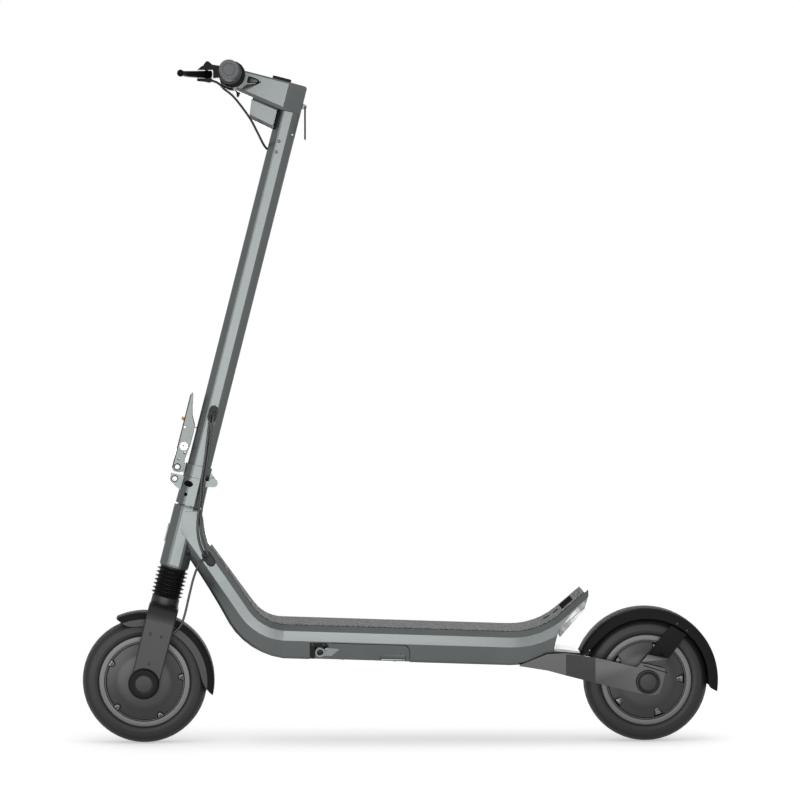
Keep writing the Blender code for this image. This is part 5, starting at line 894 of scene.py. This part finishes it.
def carry_loop():
    """A rounded rectangle of wire that hangs from its pivot."""
    pivot = STEERING.world((0.0255, 0, 1.0579))
    outline = oblong(-0.009, 0, 0.009, 0.057, 0.005, 7)
    wire = pivot + np.stack((0 * outline[:, 0], outline[:, 0], -outline[:, 1]), -1)
    stands_for(tube("carry_loop_wire", wire, 0.0016, LOOP_STEEL, "carry_loop", 10, closed=True,
                    upright=(1.0, 0, 0)), "carry_loop")


carry_loop()


# Cables along the scooter, in steering coordinates

CABLE_RADIUS = 0.0021
ROUTE_STEP = 0.004


def dive(x, z):
    """The end of a route, straight into the grommet on the neck's left side."""
    return [(x, -0.036, z), (x, -0.0315, z), (x, -0.027, z)]


def cable(name, node, route, bend=None, body=None):
    """A round cable, which rides on its body if it is given one. A bend is unpacked, but no bending is set up
    from it.
    """
    path = STEERING.world(smooth(route, ROUTE_STEP))
    piece = tube(name, path, CABLE_RADIUS, CABLE, body, upright=(0.1, 1.0, 0.02))
    stands_for(piece, node)
    if bend:
        first, second, start, end = bend
        tuple(STEERING.world(start))
        tuple(STEERING.world(end))
        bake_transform(piece)


FOLD_BEND = ("stem", "steering", (0.01, -0.029, 0.408), (0.019, -0.029, 0.348))
TURN_BEND = ("steering", "frame", (0.022, -0.03, 0.31), (0.047, -0.033, 0.256))
FRONT_HIGH = [(-0.0014, -0.019, 0.4852), (-0.0014, -0.0255, 0.4852), (-0.001, -0.0285, 0.4732),
              (0.0035, -0.029, 0.44), (0.0075, -0.029, 0.408), (0.011, -0.029, 0.37), (0.0165, -0.0295, 0.34)]
FRONT_LOW = [FRONT_HIGH[-1], (0.02, -0.0298, 0.31), (0.025, -0.0305, 0.285), (0.035, -0.0345, 0.262),
             *dive(0.04754, 0.24444)]
BACK_HIGH = [(0.0026, -0.019, 0.4942), (0.0026, -0.0255, 0.4942), (0.0035, -0.0285, 0.4822),
             (0.008, -0.0288, 0.44), (0.012, -0.0288, 0.408), (0.016, -0.0288, 0.37), (0.0215, -0.029, 0.34)]
BACK_LOW = [BACK_HIGH[-1], (0.025, -0.0293, 0.31), (0.031, -0.0303, 0.285), (0.043, -0.0345, 0.262),
            *dive(0.05529, 0.24508)]
BRAKE_HIGH = [*reversed(dive(0.05153, 0.23909)), (0.044, -0.0385, 0.232), (0.0403, -0.04, 0.216),
              (0.0389, -0.042, 0.196)]
BRAKE_LOW = [BRAKE_HIGH[-1], (0.0394, -0.0435, 0.165), (0.0399, -0.045, 0.132),
             (0.037, -0.0465, 0.112), (0.0275, -0.047, 0.099), (0.015, -0.0475, 0.083)]
BRAKE_END = [BRAKE_LOW[-1], (0, -0.048, 0.06), (-0.013, -0.0483, 0.042), (-0.0185, -0.0484, 0.0312)]
UPPER = [(-0.1485, -0.128, 1.0566), (-0.1431, -0.128, 1.0577), (-0.1345, -0.1245, 1.0574),
         (-0.1258, -0.118, 1.0545), (-0.1192, -0.112, 1.05), (-0.098, -0.09, 1.0402),
         (-0.0647, -0.055, 1.0142), (-0.0448, -0.03, 0.9928), (-0.029, -0.008, 0.975),
         (-0.0215, 0, 0.9695), (-0.0165, 0, 0.9687)]
cable("brake_hose_upper", "brake_cable_upper", UPPER, body="stem")
cable("front_loom_upper", "port_cable_front", FRONT_HIGH, FOLD_BEND)
cable("front_loom_lower", "port_cable_front", FRONT_LOW, TURN_BEND)
cable("back_loom_upper", "port_cable_back", BACK_HIGH, FOLD_BEND)
cable("back_loom_lower", "port_cable_back", BACK_LOW, TURN_BEND)
cable("brake_hose_middle", "brake_cable_lower", BRAKE_HIGH,
      ("frame", "steering", (0.05153, -0.034, 0.236), (0.04, -0.0415, 0.204)))
cable("brake_hose_lower", "brake_cable_lower", BRAKE_LOW,
      ("steering", "fork", (0.039, -0.0425, 0.186), (0.037, -0.0465, 0.112)))
cable("brake_hose_end", "brake_cable_lower", BRAKE_END,
      ("fork", "brake_arm", (0.01, -0.0477, 0.075), (-0.013, -0.0483, 0.042)))


# Fixings and small pieces

def shade_floor(name, outline, level, place, body, finish=DARK_SEAM_AND_SHADE):
    """A thin dark plate that closes a blind hole at the given y: painted shade for the hole's depth."""
    return slab(name, outline, level, level + 0.0005, place, finish, body, 0.0001, 2)


def fixings():
    """Screws and rivets, each set on the face that carries it."""
    screws("stand_screws", [(-0.0133, 0.0014, 0.014), (0.0061, 0.0014, 0.0138)], SIDE, "frame", 0.0022,
           ARM_PAINT)
    screws("stand_pivot_screw", (0, -0.0012, 0), SIDE, "frame", 0.0042, AXLE_PAINT)
    turned("stand_pivot_ring", oblong(0.0056, -0.0018, 0.0088, 0.0008, 0.0005), SIDE, LEG_SILVER, "kickstand",
           48)
    screws("stem_screws", [(-0.0042, -0.0203, 0.9872), (-0.0042, -0.0203, 0.9677)], STEERING, "stem", 0.0027,
           SILVER)
    screws("stay_screws", [(0.025, -0.0414, 0.056), (0.048, -0.0414, 0.083)], REAR, "frame", 0.0017,
           STAY_PLASTIC)
    screws("stay_foot_screw", (0.0265, -0.0414, 0.047), REAR, "frame", 0.0024, DARK_SEAM_AND_SHADE)
    screws("guard_rivets", [(0.054, -0.0374, 0.101), (0.0715, -0.0374, 0.089)], REAR, "frame", 0.0011, SILVER)
    screws("hook_pin_head", (-0.035, -0.014, 0.4222), STEERING, "latch_hook", 0.0022)
    screws("lever_pin_head", (-0.0362, -0.015, 0.4224), STEERING, "latch_lever", 0.0016)
    screws("catch_pin_head", (-0.0412, -0.0122, 0.4553), STEERING, "safety_catch", 0.0019, BRIGHT)
    along = np.tile((0.013, 0.1055, 0.198, 0.2905, 0.383), 2)
    across = np.repeat((-0.056, 0.056), 5)
    screws("belly_screws", np.stack((along, 0 * along - 0.0614, across), -1), BELLY, "frame", 0.0028, STEEL)
    for k, (x, z) in enumerate(((-0.0105, 0.0886), (0.0096, 0.0883), (0.0, 0.0367))):
        pad = oblong(x - 0.0023, z - 0.0028, x + 0.0023, z + 0.0028, 0.0006)
        slab(f"fork_pad_{k}", pad, -0.0624, -0.0617, STEERING, PAD_PAINT, "fork", 0.0002)
    slab("display_glass", oblong(-0.0408, 1.097, -0.0116, 1.0983, 0.0003), -0.0142, 0.0142, STEERING, SCREEN,
         "stem", 0.0003)


def latch_edge_shades_and_pin_rings():
    """Dark rims on the lever's front edges, painted shade where the edges turn away from the light, and a
    dark ring about each end of the two tube pins.
    """
    for name, side in SIDES:
        # Painted shade along the lever's front edge.
        rim = oblong(-0.0463, 0.38, -0.0443, 0.514, 0.0005)
        slab(f"lever_edge_shade_{name}", rim, side * 0.0111, side * 0.0122, STEERING, PAD_PAINT, "latch_lever",
             0.0002)
        ring = oblong(0.0043, side * 0.0121, 0.0063, side * 0.013)
        for pin, body, spot in (("lever", "stem", (-0.0373, 0, 0.3835)),
                                ("catch", "steering", (-0.0365, 0, 0.3622))):
            place = Place(STEERING.world(spot), HEAD_ANGLE)
            turned(f"{pin}_pin_ring_{name}", ring, place, PAD_PAINT, body, 40)


def hollows():
    """Floors of painted shade in the blind holes of the folding joint, and the finger pocket beside the bar
    clamp, whose black floor is painted shade as well.
    """
    oval = fillet([(-0.0008, 0.36), (-0.0058, 0.3652), (-0.0152, 0.3652), (-0.0197, 0.36),
                   (-0.0152, 0.3548), (-0.0058, 0.3548)], 0.003)
    shade_floor("fold_oval_shade", oval, -0.0214, STEERING, "steering")
    hole = (-0.0108, 0.3406) + polar(0.0033, 0 * round_trip(20), round_trip(20))[:, ::2]
    shade_floor("fold_hole_shade", hole, -0.0222, STEERING, "steering")
    pocket = [(-0.085, 1.0855), (-0.07, 1.0848), (-0.063, 1.0825), (-0.065, 1.078), (-0.085, 1.072)]
    shade_floor("pocket_shade", fillet(pocket, 0.002), -0.0216, STEERING, "stem", BLACK)
    inner = [(-0.08, 1.083), (-0.0705, 1.0829), (-0.0652, 1.0812), (-0.0668, 1.079), (-0.08, 1.075)]
    slab("pocket_pad", fillet(inner, 0.0018), -0.0222, -0.0214, STEERING, ARM_PAINT, "stem", 0.0003)
    ledge = [(-0.093, 1.0574), (-0.0866, 1.0566), (-0.06, 1.0796), (-0.0612, 1.0832), (-0.0646, 1.0772),
             (-0.085, 1.0704)]
    slab("pocket_ledge", fillet(ledge, 0.001), -0.0231, -0.0222, STEERING, ARM_PAINT, "stem", 0.0004)


def stand_window():
    """The window in the side cover: a lip in front of the stand's end, a dark plate of painted shade in the
    gap, and the bright rest below.
    A dark seam runs along the cover's upper edge and down its rear one."""
    lip = [(0.1066, -0.0122), (0.1506, -0.0132), (0.1506, -0.006), (0.1066, -0.0046)]
    slab("window_lip", fillet(lip, 0.0006), 0.0008, 0.0021, SIDE, PANEL, "frame", 0.0003)
    seam = [(0.0205, -0.0002, 0.0176), (0.07, -0.0006, 0.0157), (0.143, -0.0012, 0.0134),
            (0.153, -0.0015, 0.0112), (0.1576, -0.0015, 0.005), (0.1584, -0.0012, -0.012),
            (0.1584, -0.0002, -0.0168)]
    tube("cover_seam", SIDE.world(smooth(seam, ROUTE_STEP)), 0.0006, DARK_SEAM_AND_SHADE, "frame", 8)
    slab("window_gap_shade", [(0.1062, -0.016), (0.151, -0.0166), (0.151, -0.0052), (0.1062, -0.0037)],
         0.0018, 0.0024, SIDE, DARK_SEAM_AND_SHADE, "frame", 0.0001, 2)
    rest = [(0.1075, -0.0158), (0.15, -0.0164), (0.15, -0.0138), (0.1075, -0.013)]
    slab("stand_rest", fillet(rest, 0.0004), -0.0004, 0.0022, SIDE, LEG_SILVER, "frame", 0.0004)


def charge_socket():
    """A round socket with a pin, at the bottom of the charge port."""
    profile = [(0.0, -0.0088), (0.0083, -0.0088), (0.0083, -0.0056), (0.0066, -0.0056), (0.006, -0.0078),
               (0.0016, -0.0078), (0.0014, -0.0058), (0.0, -0.0058)]
    place = Place((-0.1645, 0.0801, 0.1749), DECK_SLOPE, -DECK_SIDE_LEAN)
    turned("charge_socket", profile, place, STEEL, "frame", 40, closed=False)


PAD_HEIGHT = 0.0031


def kick_pads():
    """Inlays across the tail. Each lies on the deck's own surface, found from above, and stands proud of the
    mat. Its height falls off as an eighth power along the scooter and a 24th across."""
    deck = NODES["deck_frame"].data
    top = BVHTree.FromPolygons([tuple(v.co) for v in deck.vertices],
                               [tuple(p.vertices) for p in deck.polygons])
    pads = ((0.2545, 0.269, 0.006, PAD), (0.2725, 0.285, 0.006, PAD), (0.2853, 0.309, 0.0406, PAD),
            (0.3112, 0.319, 0.0412, GRIT))
    for k, (first, last, half, finish) in enumerate(pads):
        hits = [top.ray_cast(Vector((x, 0.0, 0.6)), Vector((0, 0, -1))) for x in np.linspace(first, last, 15)]
        spot = np.array([hit[0][:] for hit in hits])
        up = np.array([hit[1][:] for hit in hits])
        a = np.linspace(-1, 1, 15)
        y = np.linspace(-1, 1, 41)
        height = PAD_HEIGHT * (1 - a[:, None] ** 8) * (1 - y[None] ** 24)
        above = spot[:, None] + up[:, None] * height[..., None]
        above[..., 1] = y[None] * half
        below = above[:, ::-1].copy()
        below[..., ::2] = (spot - up * 0.0004)[:, None, ::2]
        skin(f"kick_pad_{k}", np.concatenate((above, below), 1), finish, "frame", around=True, ends=True)


fixings()
latch_edge_shades_and_pin_rings()
hollows()
stand_window()
charge_socket()
kick_pads()
